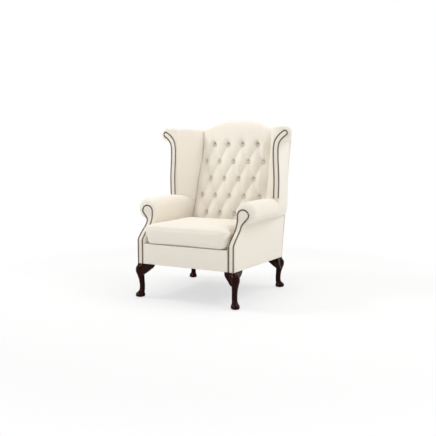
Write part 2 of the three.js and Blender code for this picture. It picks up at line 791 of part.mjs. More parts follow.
function outsideBack() {
  const rightSide = [];
  const levels = [skirtRear, armPanelTop, ...wingLevels()];
  levels.forEach((z, k) => {
    const x = k < 2 ? mix(halfWidthRear, halfWidthRear + clear, k) : wingOuterX(z, 1);
    rightSide.push([x, z]);
  });
  const tuckZ = wingTuckZ - wingTopFall * (wingTuckZ - wingHollowTop) / (wingTop - wingHollowTop) - clear;
  rightSide.push([wingOuterX(tuckZ, 1), tuckZ], [seamHalfHigh + clear, tuckZ]);
  const top = crestColumns().reverse().map((x) => [x, crestZ(x) - crestCap - crestTuck - clear]);
  const leftSide = rightSide.map(([x, z]) => [-x, z]).reverse();
  const outline = [...rightSide, ...top, ...leftSide];
  return solid(slopedBoard(outline, (z) => rearY(z) - panelThick, rearY));
}

function frontBorder() {
  const board = box(-borderHalf, borderHalf, bodyFront, bodyFront + panelThick, 0, deckTop);
  return solid(board).subtract(belowSkirt(0));
}

function frontRail() {
  const half = studInner - clear;
  const y = bodyFront + panelThick + clear;
  return solid(box(-half, half, y, y + railThick, 0, seatRailTop)).subtract(belowSkirt(railBottomLift));
}

function sideRail() {
  const y = bodyFront + facingThick + frontPostDepth + 2 * clear;
  const [rearTop, rearFoot] = [backPostFront(seatRailTop) - clear, backPostFront(0) - clear];
  const outline = [[y, 0], [y, seatRailTop], [rearTop, seatRailTop], [rearFoot, 0]];
  return solid(prismX(outline, studInner, studOuter)).subtract(belowSkirt(railBottomLift));
}

function backRail() {
  const half = postInner - clear;
  const outline = [[-half, 0], [half, 0], [half, seatRailTop], [-half, seatRailTop]];
  const board = slopedBoard(outline, (z) => backPostRear(z) - railThick, backPostRear);
  return solid(board).subtract(belowSkirt(railBottomLift));
}

function stayRail() {
  const half = postInner - clear;
  const top = stayRailBottom + stayRailHeight;
  const outline = [[-half, stayRailBottom], [half, stayRailBottom], [half, top], [-half, top]];
  const front = (z) => webPlaneY(z) + webbingThick + clear;
  return solid(slopedBoard(outline, front, (z) => front(z) + stayRailDepth));
}

function backWebbing() {
  const strap = (x0, x1, z0, z1) => solid(slopedBoard([[x0, z0], [x1, z0], [x1, z1], [x0, z1]],
    webPlaneY, (z) => webPlaneY(z) + webbingThick));
  const half = webbingWidth / 2;
  const low = stayRailBottom;
  const high = crestRailBottom + stayRailHeight;
  const uprights = [-1.5, -0.5, 0.5, 1.5].map((place) => {
    const x = place * webbingPitch;
    return strap(x - half, x + half, low, high);
  });
  const crosses = [0, 1, 2].map((place) => {
    const z = webbingCrossLow + place * webbingCrossPitch;
    return strap(clear - postInner, postInner - clear, z - half, z + half);
  });
  return [...uprights, ...crosses].reduce((whole, piece) => whole.add(piece));
}

function dustCover() {
  const half = halfWidthFront - panelThick - clear;
  const front = bodyFront + panelThick + clear;
  const sheet = solid(box(-half, half, front, backPostRear(skirtRear), 0, seatRailTop))
    .subtract(belowSkirt(clear)).intersect(belowSkirt(clear + dustCoverThick));
  const rightPosts = frontPost(clear).add(backPost(clear));
  const leftPosts = solid(mirrored(geometryOf(rightPosts)));
  return sheet.subtract(rightPosts).subtract(leftPosts);
}

// Zig-zag spring between the front and back seat rails
function seatSpring(x) {
  const z = seatRailTop + clear + springWire / 2;
  const front = bodyFront + panelThick + clear + railThick / 2;
  const rear = backPostRear(seatRailTop) - railThick / 2;
  const points = [new THREE.Vector3(0, front, 0), new THREE.Vector3(0, front + springLanding, 0)];
  const [from, to] = [front + 2 * springLanding, rear - 2 * springLanding];
  for (let k = 0; k <= springBends; k += 1) {
    const side = k % 2 ? -1 : 1;
    points.push(new THREE.Vector3(side * springHalfWidth, mix(from, to, k / springBends), 0));
  }
  points.push(new THREE.Vector3(0, rear - springLanding, 0), new THREE.Vector3(0, rear, 0));
  const wire = new THREE.Shape();
  const sides = 5;
  for (let k = 0; k < sides; k += 1) {
    const angle = (2 * Math.PI * k) / sides;
    const [a, b] = [(springWire / 2) * Math.cos(angle), (springWire / 2) * Math.sin(angle)];
    if (k === 0) wire.moveTo(a, b);
    else wire.lineTo(a, b);
  }
  const path = new THREE.CatmullRomCurve3(points);
  const steps = 2 * springBends + 6;
  const geometry = new THREE.ExtrudeGeometry(wire, { steps, extrudePath: path, bevelEnabled: false });
  return welded(geometry).translate(x, 0, z);
}

function seatDeck() {
  const half = armInner - clear;
  return solid(box(-half, half, bodyFront + panelThick + clear, wingFront, deckBottom, deckTop));
}

function cushionRear(z) {
  return buttonPlaneY(z) - tuftCrown - cushionGap;
}

// Outline of the cushion at one height, drawn in between its corners
function cushionRing(z, inset, share) {
  const points = [];
  const [y0, y1] = [cushionFront + inset, cushionRear(Math.min(z, cushionBottom + cushionHeight)) - inset];
  const half = cushionHalf - inset;
  const middle = (y0 + y1) / 2;
  const corner = cushionCorner * share;
  const signs = [[1, 1], [-1, 1], [-1, -1], [1, -1]];
  signs.forEach(([sx, sy], quarter) => {
    for (let k = 0; k <= 3; k += 1) {
      const angle = (Math.PI / 2) * (quarter + k / 3);
      const x = sx * (half * share - corner) + corner * Math.cos(angle);
      const y = middle + sy * (((y1 - y0) / 2) * share - corner) + corner * Math.sin(angle);
      points.push([x, y]);
    }
    const next = signs[(quarter + 1) % 4];
    [0.25, 0.5, 0.75].forEach((place) => {
      const draw = cushionPinch * share * (1 - (2 * place - 1) ** 2);
      const ends = [sx, next[0], sy, next[1]];
      const along = (a, b, size) => mix(a * (size - corner), b * (size - corner), place);
      const wide = ends[0] === ends[1];
      const x = wide ? ends[0] * (half * share - draw) : along(ends[0], ends[1], half * share);
      const depth = ((y1 - y0) / 2) * share;
      const y = middle + (wide ? along(ends[2], ends[3], depth) : ends[2] * (depth - draw));
      points.push([x, y]);
    });
  });
  return points.map(([x, y]) => new THREE.Vector3(x, y, z));
}

function seatCushion() {
  const edge = cushionBottom + cushionHeight;
  const inset = (share) => share * cushionCorner;
  const side = cushionSideShares.map(([rise, share]) =>
    cushionRing(mix(cushionBottom, edge, rise), inset(share), 1));
  const [, brow] = cushionSideShares.at(-1);
  const crown = cushionCrownShares.map(([share, rise]) =>
    cushionRing(edge + cushionCrown * rise, inset(brow), share));
  const recess = zipSlab(0, overrun, zipLength + 2 * clear, zipHeight + 2 * clear);
  return solid(loft([...side, ...crown])).subtract(recess);
}

// A slab on the cushion's rear, between two distances behind the recess floor
function zipSlab(near, far, length, height) {
  const middle = cushionBottom + cushionHeight / 2;
  const [half, z0, z1] = [length / 2, middle - height / 2, middle + height / 2];
  const outline = [[-half, z0], [half, z0], [half, z1], [-half, z1]];
  const floor = (z) => cushionRear(z) - cushionPinch - zipRecess;
  return solid(slopedBoard(outline, (z) => floor(z) + near, (z) => floor(z) + far));
}

function cushionZip() {
  return zipSlab(clear, clear + zipThick, zipLength, zipHeight);
}

function zipSlider() {
  const near = 2 * clear + zipThick;
  const body = zipSlab(near, near + sliderThick, sliderWidth, sliderHeight);
  return body.translate([sliderWidth - zipLength / 2, 0, 0]);
}

// A strip of domed heads along a path; the rings swell at each head and narrow between them
function studStrip(path, normalAt) {
  const curve = new THREE.CurvePath();
  path.slice(1).forEach((point, k) => curve.add(new THREE.LineCurve3(path[k], point)));
  const count = Math.round(curve.getLength() / studPitch);
  const rings = [];
  for (let k = 0; k <= 2 * count; k += 1) {
    const share = Math.min(k / (2 * count), 1 - 1e-6);
    const point = curve.getPointAt(share);
    const before = curve.getPointAt(Math.max(0, share - 1 / (4 * count)));
    const after = curve.getPointAt(Math.min(1 - 1e-6, share + 1 / (4 * count)));
    const normal = normalAt(point);
    const across = after.sub(before).normalize().cross(normal).normalize();
    const head = k % 2;
    const [half, height] = [head ? studRadius : studNeck, head ? studHeight : studNeckHeight];
    const base = point.clone().addScaledVector(normal, 2 * clear);
    rings.push([base.clone().addScaledVector(across, half), base.clone().addScaledVector(normal, height),
      base.clone().addScaledVector(across, -half)]);
  }
  return welded(loft(rings));
}

function armStuds() {
  const outline = keyhole();
  const bottom = skirtFront + studFootClear;
  const sweepLevels = sweepShares.map(([share]) => mix(sweepBottom, sweepTop, share));
  const place = (x, z) => new THREE.Vector3(x, sweepY(z), z);
  const loop = outline.slice(1, -2).map(([x, z]) => place(x, z));
  const up = [bottom, ...sweepLevels].map((z) => place(studInner, z));
  const below = sweepLevels.filter((z) => z < neckZ).reverse();
  const down = [neckZ, ...below, bottom].map((z) => place(studOuter, z));
  const strip = studStrip([...up, ...loop, ...down], ({ z }) => {
    const slope = (sweepY(z + clear) - sweepY(z - clear)) / (2 * clear);
    return new THREE.Vector3(0, -1, slope).normalize();
  });
  return solid(strip).subtract(sweepSlice(-clear, facingThick, 0, wingHalfWidth));
}

function wingStuds() {
  const { innerSide, tip, outerSide } = wingStrip(wingStudHalf);
  const clearOfArm = ([, z]) => z > armTop + studRadius;
  const path = [...innerSide.filter(clearOfArm), ...tip, ...outerSide.filter(clearOfArm)];
  const forward = new THREE.Vector3(0, -1, 0);
  return studStrip(path.map(([x, z]) => new THREE.Vector3(x, wingFront, z)), () => forward);
}

// A cabriole leg below one corner of the body: sx and sy point outwards from the chair
// All four legs are alike, each turned to its corner, with a long ear on one side of the knee
function cabrioleLeg(cornerX, cornerY, sx, sy, splay) {
  const top = skirt(cornerY);
  const sides = 12;
  const diagonal = Math.SQRT1_2;
  const rings = legShares.map(([rise, centre, across, along, spread]) => {
    const points = [];
    const middle = legKnee * (centre - 1 / Math.SQRT2 + 0.5);
    for (let k = 0; k < sides; k += 1) {
      const angle = (2 * Math.PI * k) / sides;
      const out = middle + legKnee * along * Math.cos(angle);
      const side = legKnee * across * Math.sin(angle);
      const x = (out - side) * diagonal + spread * splay[0];
      const y = (out + side) * diagonal + spread * splay[1];
      const z = mix(footCutZ, top + panelThick, rise);
      points.push(new THREE.Vector3(cornerX + sx * x, cornerY + sy * y, z));
    }
    return points;
  });
  const outline = (length, tips) => [
    ...tips.map(([place, drop]) => [length * place, top + panelThick - drop * legEarDepth]),
    ...earRootShares.map(([place, drop]) => [legKnee * place, top + panelThick - drop * legEarDepth]),
  ];
  const long = outline(earLong, longTipShares);
  const short = outline(earShort, shortTipShares);
  const [across, along] = sx * sy > 0 ? [long, short] : [short, long];
  const earX = prismY(across.map(([x, z]) => [cornerX - sx * x, z]),
    cornerY - sy * legSetback, cornerY - sy * legEarThick);
  const earY = prismX(along.map(([y, z]) => [cornerY - sy * y, z]),
    cornerX - sx * legSetback, cornerX - sx * legEarThick);
  return solid(loft(rings)).add(solid(earX)).add(solid(earY)).intersect(belowSkirt(-clear));
}

function legGlide(cornerX, cornerY, sx, sy, splay) {
  const [, centre] = legShares[0];
  const reach = legKnee * (centre - 1 / Math.SQRT2 + 0.5) * Math.SQRT1_2;
  const profile = [[0, 0], [glideRadius, 0], [glideRadius, glideHeight], [0, glideHeight]];
  const geometry = new THREE.LatheGeometry(profile.map((pair) => new THREE.Vector2(...pair)), 12);
  const [x, y] = splay.map((step) => reach + step);
  return welded(geometry).rotateX(Math.PI / 2).translate(cornerX + sx * x, cornerY + sy * y, 0);
}

const finishes = {
  cover: { color: 0xf2ecdf, roughness: 0.9, metalness: 0 },
  button: { color: 0xe9e1d2, roughness: 0.9, metalness: 0 },
  stud: { color: 0x6e5a48, roughness: 0.42, metalness: 0.9 },
  leg: { color: 0x1d0908, roughness: 0.18, metalness: 0 },
  beech: { color: 0xc9a476, roughness: 0.7, metalness: 0 },
  spring: { color: 0x6f7378, roughness: 0.4, metalness: 0.9 },
  webbing: { color: 0xb59a6c, roughness: 0.95, metalness: 0 },
  lining: { color: 0x2b2a2a, roughness: 0.95, metalness: 0 },
  zip: { color: 0xd9d0be, roughness: 0.6, metalness: 0 },
  slider: { color: 0xb08d57, roughness: 0.35, metalness: 0.9 },
  glide: { color: 0x3a3a3a, roughness: 0.6, metalness: 0 },
};

const chair = new THREE.Group();

function add(name, shape, finish) {
  const geometry = shape.isBufferGeometry ? shape : geometryOf(shape);
  const flat = geometry.toNonIndexed();
  flat.computeVertexNormals();
  const mesh = new THREE.Mesh(flat, new THREE.MeshStandardMaterial({ ...finishes[finish] }));
  mesh.name = name;
  chair.add(mesh);
}

// Pieces that come as a right and a left are made once and mirrored
function addPair(name, shape, finish) {
  const right = shape.isBufferGeometry ? shape : geometryOf(shape);
  add(`right_${name}`, right, finish);
  add(`left_${name}`, mirrored(right), finish);
}

add('front_rail', frontRail(), 'beech');
add('back_rail', backRail(), 'beech');
add('back_stay_rail', stayRail(), 'beech');
add('crest_rail', crestRail(0), 'beech');
addPair('side_rail', sideRail(), 'beech');
addPair('front_post', frontPost(0), 'beech');
addPair('back_post', backPost(0), 'beech');
addPair('arm_rail', armRail(0), 'beech');
addPair('wing_upright', wingUpright(0), 'beech');
addPair('wing_rail', wingRail(0), 'beech');

for (let k = 0; k < springCount; k += 1) {
  add(`seat_spring_${k + 1}`, seatSpring((k - (springCount - 1) / 2) * springPitch), 'spring');
}
add('back_webbing', backWebbing(), 'webbing');
add('dust_cover', dustCover(), 'lining');

add('seat_deck', seatDeck(), 'cover');
add('front_border', frontBorder(), 'cover');
addPair('inside_arm', insideArm(), 'cover');
addPair('outside_arm', outsideArm(), 'cover');
addPair('arm_facing', armFacing(), 'cover');
addPair('inside_wing', insideWing(), 'cover');
addPair('outside_wing', outsideWing(), 'cover');
addPair('wing_facing', wingFacing(), 'cover');
add('inside_back', insideBack(), 'cover');
add('outside_back', outsideBack(), 'cover');
buttonPlaces().forEach((places, k) => add(`button_row_${k + 1}`, buttonRow(places), 'button'));
addPair('arm_studs', armStuds(), 'stud');
addPair('wing_studs', wingStuds(), 'stud');

add('seat_cushion', seatCushion(), 'cover');
add('cushion_zip', cushionZip(), 'zip');
add('zip_slider', zipSlider(), 'slider');

Object.entries(flip).forEach(([side, sx]) => {
  const front = [sx * halfWidthFront, bodyFront, sx, -1, [frontSplayOut, -frontSplayBack]];
  const rear = [sx * halfWidthRear, bodyRear, sx, 1, [0, rearSplayBack]];
  add(`${side}_front_leg`, cabrioleLeg(...front), 'leg');
  add(`${side}_rear_leg`, cabrioleLeg(...rear), 'leg');
  add(`${side}_front_glide`, legGlide(...front), 'glide');
  add(`${side}_rear_glide`, legGlide(...rear), 'glide');
});

export default chair;
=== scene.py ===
"""Wingback armchair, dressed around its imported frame. Shapes are written in millimetres."""
import math

import bmesh
import bpy
import numpy as np
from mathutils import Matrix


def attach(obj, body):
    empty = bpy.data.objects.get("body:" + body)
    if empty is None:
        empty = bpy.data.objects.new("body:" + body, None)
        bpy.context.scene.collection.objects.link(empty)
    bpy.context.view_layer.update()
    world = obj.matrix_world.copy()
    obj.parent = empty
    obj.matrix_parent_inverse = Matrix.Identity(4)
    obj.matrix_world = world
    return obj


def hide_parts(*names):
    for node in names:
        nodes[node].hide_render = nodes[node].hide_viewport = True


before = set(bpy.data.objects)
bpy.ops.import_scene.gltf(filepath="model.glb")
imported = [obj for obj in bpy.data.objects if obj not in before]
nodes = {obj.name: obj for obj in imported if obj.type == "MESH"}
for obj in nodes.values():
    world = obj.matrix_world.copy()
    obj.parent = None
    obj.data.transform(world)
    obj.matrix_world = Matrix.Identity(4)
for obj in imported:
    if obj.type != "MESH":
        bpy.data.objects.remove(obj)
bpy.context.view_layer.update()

# The beech frame is planed boards, dowelled and glued, later hidden by the upholstery.
# Its straight grain runs along each board, with the short dark flecks that beech has.


def effect(name, given, result):
    """A shader node group with these named inputs (label, kind, value) and outputs (label, kind)."""
    tree = bpy.data.node_groups.new(name, "ShaderNodeTree")
    for label, kind, value in given:
        socket = tree.interface.new_socket(label, in_out="INPUT", socket_type=kind)
        if value is not None:
            socket.default_value = value
    for label, kind in result:
        tree.interface.new_socket(label, in_out="OUTPUT", socket_type=kind)
    return tree, tree.nodes.new("NodeGroupInput").outputs, tree.nodes.new("NodeGroupOutput").inputs


def feed(tree, socket, term):
    if isinstance(term, bpy.types.NodeSocket):
        tree.links.new(term, socket)
    else:
        socket.default_value = term


def sum_of(tree, operation, *terms):
    node = tree.nodes.new("ShaderNodeMath")
    node.operation = operation
    for socket, term in zip(node.inputs, terms):
        feed(tree, socket, term)
    return node.outputs[0]


def clouds(tree, place, scale, detail=3.0, rough=0.5):
    node = tree.nodes.new("ShaderNodeTexNoise")
    feed(tree, node.inputs["Vector"], place)
    feed(tree, node.inputs["Scale"], scale)
    node.inputs["Detail"].default_value = detail
    node.inputs["Roughness"].default_value = rough
    return node.outputs[0]


def between(tree, value, low, high, low_out=0.0, high_out=1.0):
    """Stretches the span low..high of a value over low_out..high_out, cut off at both ends."""
    node = tree.nodes.new("ShaderNodeMapRange")
    feed(tree, node.inputs["Value"], value)
    for label, number in (("From Min", low), ("From Max", high), ("To Min", low_out), ("To Max", high_out)):
        feed(tree, node.inputs[label], number)
    return node.outputs[0]


def tone(tree, share, dark, light):
    node = tree.nodes.new("ShaderNodeMix")
    node.data_type = "RGBA"
    feed(tree, node.inputs[0], share)
    for socket, colour in ((node.inputs[6], dark), (node.inputs[7], light)):
        feed(tree, socket, colour if isinstance(colour, bpy.types.NodeSocket) else (*colour, 1.0))
    return node.outputs[2]


def finish(name, **values):
    """A material and its Principled shader, with these plain values on the shader's sockets."""
    made = bpy.data.materials.new(name)
    made.use_nodes = True
    shader = made.node_tree.nodes["Principled BSDF"]
    for label, value in values.items():
        socket = shader.inputs[label.replace("_", " ")]
        socket.default_value = (*value, 1.0) if isinstance(value, tuple) else value
    return made, made.node_tree, shader.inputs


def placed(tree, stretch=(1.0, 1.0, 1.0)):
    """Object coordinates, stretched along the axes."""
    where = tree.nodes.new("ShaderNodeTexCoord")
    turn = tree.nodes.new("ShaderNodeMapping")
    turn.inputs["Scale"].default_value = stretch
    tree.links.new(where.outputs["Object"], turn.inputs["Vector"])
    return turn.outputs[0]


def used(tree, group, **given):
    """A node group placed in a material, with these inputs; its outputs."""
    node = tree.nodes.new("ShaderNodeGroup")
    node.node_tree = group
    for label, term in given.items():
        feed(tree, node.inputs[label.replace("_", " ")], term)
    return node.outputs


def raised(tree, shader, height, depth, strength=1.0):
    """Surface relief from a height, its depth in metres."""
    bump = tree.nodes.new("ShaderNodeBump")
    bump.inputs["Distance"].default_value = depth
    bump.inputs["Strength"].default_value = strength
    tree.links.new(height, bump.inputs["Height"])
    tree.links.new(bump.outputs[0], shader["Normal"])


grain, given, result = effect(
    "wood grain", [("Place", "NodeSocketVector", None), ("Figure size", "NodeSocketFloat", 6.0),
                   ("Pore size", "NodeSocketFloat", 90.0)],
    [("Figure", "NodeSocketFloat"), ("Pores", "NodeSocketFloat")])
broad = clouds(grain, given["Place"], given["Figure size"], 4.0, 0.6)
rings = sum_of(grain, "PINGPONG", sum_of(grain, "MULTIPLY", broad, 9.0), 1.0)
half_broad = sum_of(grain, "MULTIPLY", broad, 0.5)
feed(grain, result["Figure"], sum_of(grain, "MULTIPLY_ADD", rings, 0.6, half_broad))
specks = clouds(grain, given["Place"], given["Pore size"], 2.0)
feed(grain, result["Pores"], between(grain, specks, 0.52, 0.68))


def beech(name, stretch):
    made, tree, shader = finish(name, Roughness=0.62)
    figure, pores = used(tree, grain, Place=placed(tree, stretch))
    wood = tone(tree, figure, (0.50, 0.325, 0.175), (0.66, 0.475, 0.29))
    tree.links.new(tone(tree, pores, wood, (0.33, 0.19, 0.095)), shader["Base Color"])
    tree.links.new(between(tree, figure, 0.0, 1.0, 0.55, 0.72), shader["Roughness"])
    raised(tree, shader, sum_of(tree, "SUBTRACT", figure, pores), 0.0003, 0.5)
    return made


boards = {
    (1.0, 9.0, 9.0): ("front_rail", "back_rail", "back_stay_rail", "crest_rail"),
    (9.0, 1.0, 9.0): ("right_side_rail", "left_side_rail", "right_arm_rail", "left_arm_rail",
                      "right_wing_rail", "left_wing_rail"),
    (9.0, 9.0, 1.0): ("right_front_post", "left_front_post", "right_back_post", "left_back_post",
                      "right_wing_upright", "left_wing_upright"),
}
for stretch, names in boards.items():
    wood = beech("beech along " + "xyz"[stretch.index(1.0)], stretch)
    for name in names:
        nodes[name].material_slots[0].material = wood

# Five zig-zag springs of drawn steel wire run from the front rail to the back rail.
# Webbing of woven jute, tacked to the stay and crest rails, carries the back.

patina, given, result = effect(
    "patina", [("Place", "NodeSocketVector", None), ("Patch size", "NodeSocketFloat", 60.0)],
    [("Wear", "NodeSocketFloat"), ("Fine", "NodeSocketFloat")])
patches = clouds(patina, given["Place"], given["Patch size"], 4.0)
feed(patina, result["Wear"], between(patina, patches, 0.35, 0.7))
feed(patina, result["Fine"], clouds(patina, given["Place"], 900.0, 2.0))


def metal(name, dull, bright, patch, rough, metallic=1.0):
    """Metal, or a hard moulding, that is darker and rougher where its patina has stayed on."""
    made, tree, shader = finish(name, Metallic=metallic)
    wear, fine = used(tree, patina, Place=placed(tree), Patch_size=patch)
    tree.links.new(tone(tree, wear, dull, bright), shader["Base Color"])
    tree.links.new(between(tree, wear, 0.0, 1.0, rough + 0.14, rough), shader["Roughness"])
    raised(tree, shader, fine, 0.00006, 0.4)
    return made


wire = metal("drawn spring wire", (0.20, 0.205, 0.215), (0.42, 0.43, 0.45), 40.0, 0.28)
for k in range(5):
    nodes[f"seat_spring_{k + 1}"].material_slots[0].material = wire

flat_weave, given, result = effect(
    "threads over and under", [("Along", "NodeSocketFloat", 0.0), ("Across", "NodeSocketFloat", 0.0)],
    [("Height", "NodeSocketFloat"), ("Warp", "NodeSocketFloat")])
half_turns = [sum_of(flat_weave, "MULTIPLY", given[label], math.pi) for label in ("Along", "Across")]
over, under = [sum_of(flat_weave, "ABSOLUTE", sum_of(flat_weave, "SINE", angle)) for angle in half_turns]
turns = sum_of(flat_weave, "ADD", *[sum_of(flat_weave, "FLOOR", given[label])
                                    for label in ("Along", "Across")])
warp = sum_of(flat_weave, "PINGPONG", turns, 1.0)
feed(flat_weave, result["Warp"], warp)
feed(flat_weave, result["Height"], sum_of(
    flat_weave, "MULTIPLY_ADD", sum_of(flat_weave, "SUBTRACT", over, under), warp, under))

# The same weave lies on every side of a piece, seen along the axis that the surface faces
cloth_weave, given, result = effect(
    "woven cloth", [("Place", "NodeSocketVector", None), ("Facing", "NodeSocketVector", None),
                    ("Threads per metre", "NodeSocketFloat", 700.0)],
    [("Height", "NodeSocketFloat"), ("Warp", "NodeSocketFloat"), ("Mottle", "NodeSocketFloat"),
     ("Slub", "NodeSocketFloat")])
grow = cloth_weave.nodes.new("ShaderNodeVectorMath")
grow.operation = "SCALE"
feed(cloth_weave, grow.inputs[0], given["Place"])
feed(cloth_weave, grow.inputs["Scale"], given["Threads per metre"])
axes = []
for vector in (grow.outputs[0], given["Facing"]):
    split = cloth_weave.nodes.new("ShaderNodeSeparateXYZ")
    feed(cloth_weave, split.inputs[0], vector)
    axes.append(list(split.outputs))
shares = [sum_of(cloth_weave, "POWER", sum_of(cloth_weave, "ABSOLUTE", part), 8.0) for part in axes[1]]
total = sum_of(cloth_weave, "ADD", sum_of(cloth_weave, "ADD", *shares[:2]), shares[2])
sides = [used(cloth_weave, flat_weave, Along=axes[0][a], Across=axes[0][b])
         for a, b in ((1, 2), (0, 2), (0, 1))]
for label in ("Height", "Warp"):
    parts = [sum_of(cloth_weave, "MULTIPLY", side[label], share) for side, share in zip(sides, shares)]
    whole = sum_of(cloth_weave, "ADD", sum_of(cloth_weave, "ADD", *parts[:2]), parts[2])
    feed(cloth_weave, result[label], sum_of(cloth_weave, "DIVIDE", whole, total))
feed(cloth_weave, result["Mottle"], clouds(cloth_weave, given["Place"], 14.0, 4.0, 0.6))
lumps = clouds(cloth_weave, given["Place"], 210.0, 2.0)
feed(cloth_weave, result["Slub"], between(cloth_weave, lumps, 0.5, 0.72))


def cloth(name, warp, weft, slub, threads, depth, rough=0.88, **values):
    """Woven cloth in two thread colours, with thicker slubs here and there."""
    made, tree, shader = finish(name, **values)
    where = tree.nodes.new("ShaderNodeTexCoord")
    weave = used(tree, cloth_weave, Place=where.outputs["Object"], Facing=where.outputs["Normal"],
                 Threads_per_metre=threads)
    threads_tone = tone(tree, weave["Warp"], weft, warp)
    worn = tone(tree, sum_of(tree, "MULTIPLY", weave["Slub"], 0.55), threads_tone, slub)
    # The second tone is a darker copy of the warp colour, used as painted shade in folds
    faded, shade_tone = [tuple(share * c ** power for c in warp) for share, power in ((0.955, 1), (0.32, 1.5))]
    soft = tone(tree, between(tree, weave["Mottle"], 0.3, 0.7, 0.0, 0.35), worn, faded)
    # Painted shade: where a piece marks its folds, the cloth is darkened toward the shade tone, standing in for the
    # shadow in them
    folds = tree.nodes.new("ShaderNodeAttribute")
    folds.attribute_name = "painted fold shade"
    tree.links.new(tone(tree, folds.outputs["Fac"], soft, shade_tone), shader["Base Color"])
    roughness = between(tree, weave["Mottle"], 0.3, 0.7, rough - 0.05, rough + 0.05)
    tree.links.new(roughness, shader["Roughness"])
    relief = sum_of(tree, "MULTIPLY_ADD", weave["Slub"], 0.8, weave["Height"])
    raised(tree, shader, relief, depth, 0.8)
    return made


jute = cloth("jute webbing", (0.46, 0.34, 0.19), (0.36, 0.26, 0.14), (0.55, 0.43, 0.26), 420.0, 0.0006)
nodes["back_webbing"].material_slots[0].material = jute

# The seat deck is the padded platform under the loose cushion, in the same ivory cloth.
# It has softly rounded edges and is tacked to the rails on all sides.

body_front, body_rear = -372.5, 279.5
half_front, half_rear = 320.0, 335.0
skirt_front, skirt_rear = 205.0, 195.0
panel_thick, facing_thick, facing_margin, gap = 8.0, 5.0, 6.0, 0.3
seat_top, deck_top, deck_half, deck_rear, deck_edge = 304.2, 325.0, 267.7, 96.5, 9.0
ivory = cloth("ivory cloth", (0.895, 0.84, 0.745), (0.845, 0.785, 0.685), (0.93, 0.885, 0.80), 640.0, 0.00028,
              Sheen_Weight=0.12, Sheen_Roughness=0.5)


def mix(a, b, share):
    return a + (b - a) * share


def piece(name, points, faces, material):
    """A closed skin from points in millimetres, with its faces turned outward."""
    shape = bmesh.new()
    corners = [shape.verts.new(point) for point in np.asarray(points, float).reshape(-1, 3) * 0.001]
    for face in faces:
        shape.faces.new([corners[i] for i in face])
    bmesh.ops.remove_doubles(shape, verts=shape.verts, dist=2e-6)
    bmesh.ops.dissolve_degenerate(shape, edges=shape.edges, dist=1e-6)
    bmesh.ops.recalc_face_normals(shape, faces=shape.faces)
    mesh = bpy.data.meshes.new(name)
    shape.to_mesh(mesh)
    shape.free()
    mesh.materials.append(material)
    mesh.polygons.foreach_set("use_smooth", [True] * len(mesh.polygons))
    made = bpy.data.objects.new(name, mesh)
    bpy.context.scene.collection.objects.link(made)
    return made


def settle(made, body, slot, *stands_for):
    """Hands a piece over: the body that it rides on and the CAD nodes that it stands for. The slot is not used."""
    if stands_for:
        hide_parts(*stands_for)
    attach(made, body)
    return made


def to_line(points, line):
    """Distance from each point to a line of straight steps."""
    nearest = np.full(len(points), 1e9)
    for a, step in zip(line, np.diff(line, axis=0)):
        share = np.clip(((points - a) @ step) / max((step ** 2).sum(), 1e-9), 0, 1)
        nearest = np.minimum(nearest, np.linalg.norm(points - a - share[:, None] * step, axis=1))
    return nearest


def panel(name, rear, front, edges, material, puff=0.0):
    """A padded panel between a rear and a front grid of points, rounded over `edges` at its
    first row, last column, last row and first column."""
    up, across = front.shape[:2]
    flat = front.reshape(-1, 3)
    reaches = [to_line(flat, line) for line in (front[0], front[:, -1], front[-1], front[:, 0])]
    near = np.min([reach / edge for reach, edge in zip(reaches, edges)], axis=0)
    near = near.clip(0, 1).reshape(up, across)
    rise = np.sqrt(1 - (1 - near) ** 2)
    out = front - rear
    out /= np.linalg.norm(out, axis=2, keepdims=True)
    swell = puff * (np.min(reaches, axis=0).reshape(up, across) / 30).clip(0, 1) ** 0.7
    face = rear + (front - rear) * rise[..., None] + out * swell[..., None]
    count = up * across
    points = np.concatenate([face.reshape(-1, 3), rear.reshape(-1, 3)])
    faces = []
    for i in range(up - 1):
        for j in range(across - 1):
            a, d = i * across + j, (i + 1) * across + j
            b, c = a + 1, d + 1
            faces += [(a, b, c, d), (d + count, c + count, b + count, a + count)]
    return piece(name, points, faces, material)


def closer(count, ends=0.75):
    """Places from 0 to 1 that lie closer together near both ends."""
    even = np.linspace(0, 1, count)
    return mix(even, (1 - np.cos(np.pi * even)) / 2, ends)


def grid(across, up):
    return np.meshgrid(closer(across), closer(up))


def stacked(x, y, z):
    return np.stack(np.broadcast_arrays(np.asarray(x, float), y, z), axis=-1)


u, v = grid(90, 80)
deck_x, deck_y = mix(-deck_half, deck_half, u), mix(body_front + panel_thick + gap, deck_rear, v)
deck = panel("deck_cover", stacked(deck_x, deck_y, seat_top), stacked(deck_x, deck_y, deck_top),
             (deck_edge,) * 4, ivory)
settle(deck, "chair", "cover", "seat_deck")

# Each inside arm is one cover drawn over foam: up the inner wall, round the scroll and under it.
# In front it gathers over a soft shoulder into the facing; behind, it runs inside the wing to the back.

arm_inner, arm_pad, arm_radius, arm_z = 268.0, 15.0, 61.5, 523.0
arm_x = arm_inner + arm_radius
facing_inner, loop_x, loop_z, loop_radius = 283.3, 317.8, 506.0, 34.5
arm_front, wing_front, shoulder = -265.5, 96.5, 28.0
wing_back = wing_front + facing_thick + gap
seam_foot_z, seam_top_z, seam_foot_x, seam_top_x, pad_depth = 455, 950, 256, 242, 36
# How far the front leans back toward the arm's front, by height
sweep = [(345, 0), (361.2, 0.1), (381.45, 0.28), (404.4, 0.53), (426, 0.75), (450.3, 0.91), (480, 1)]


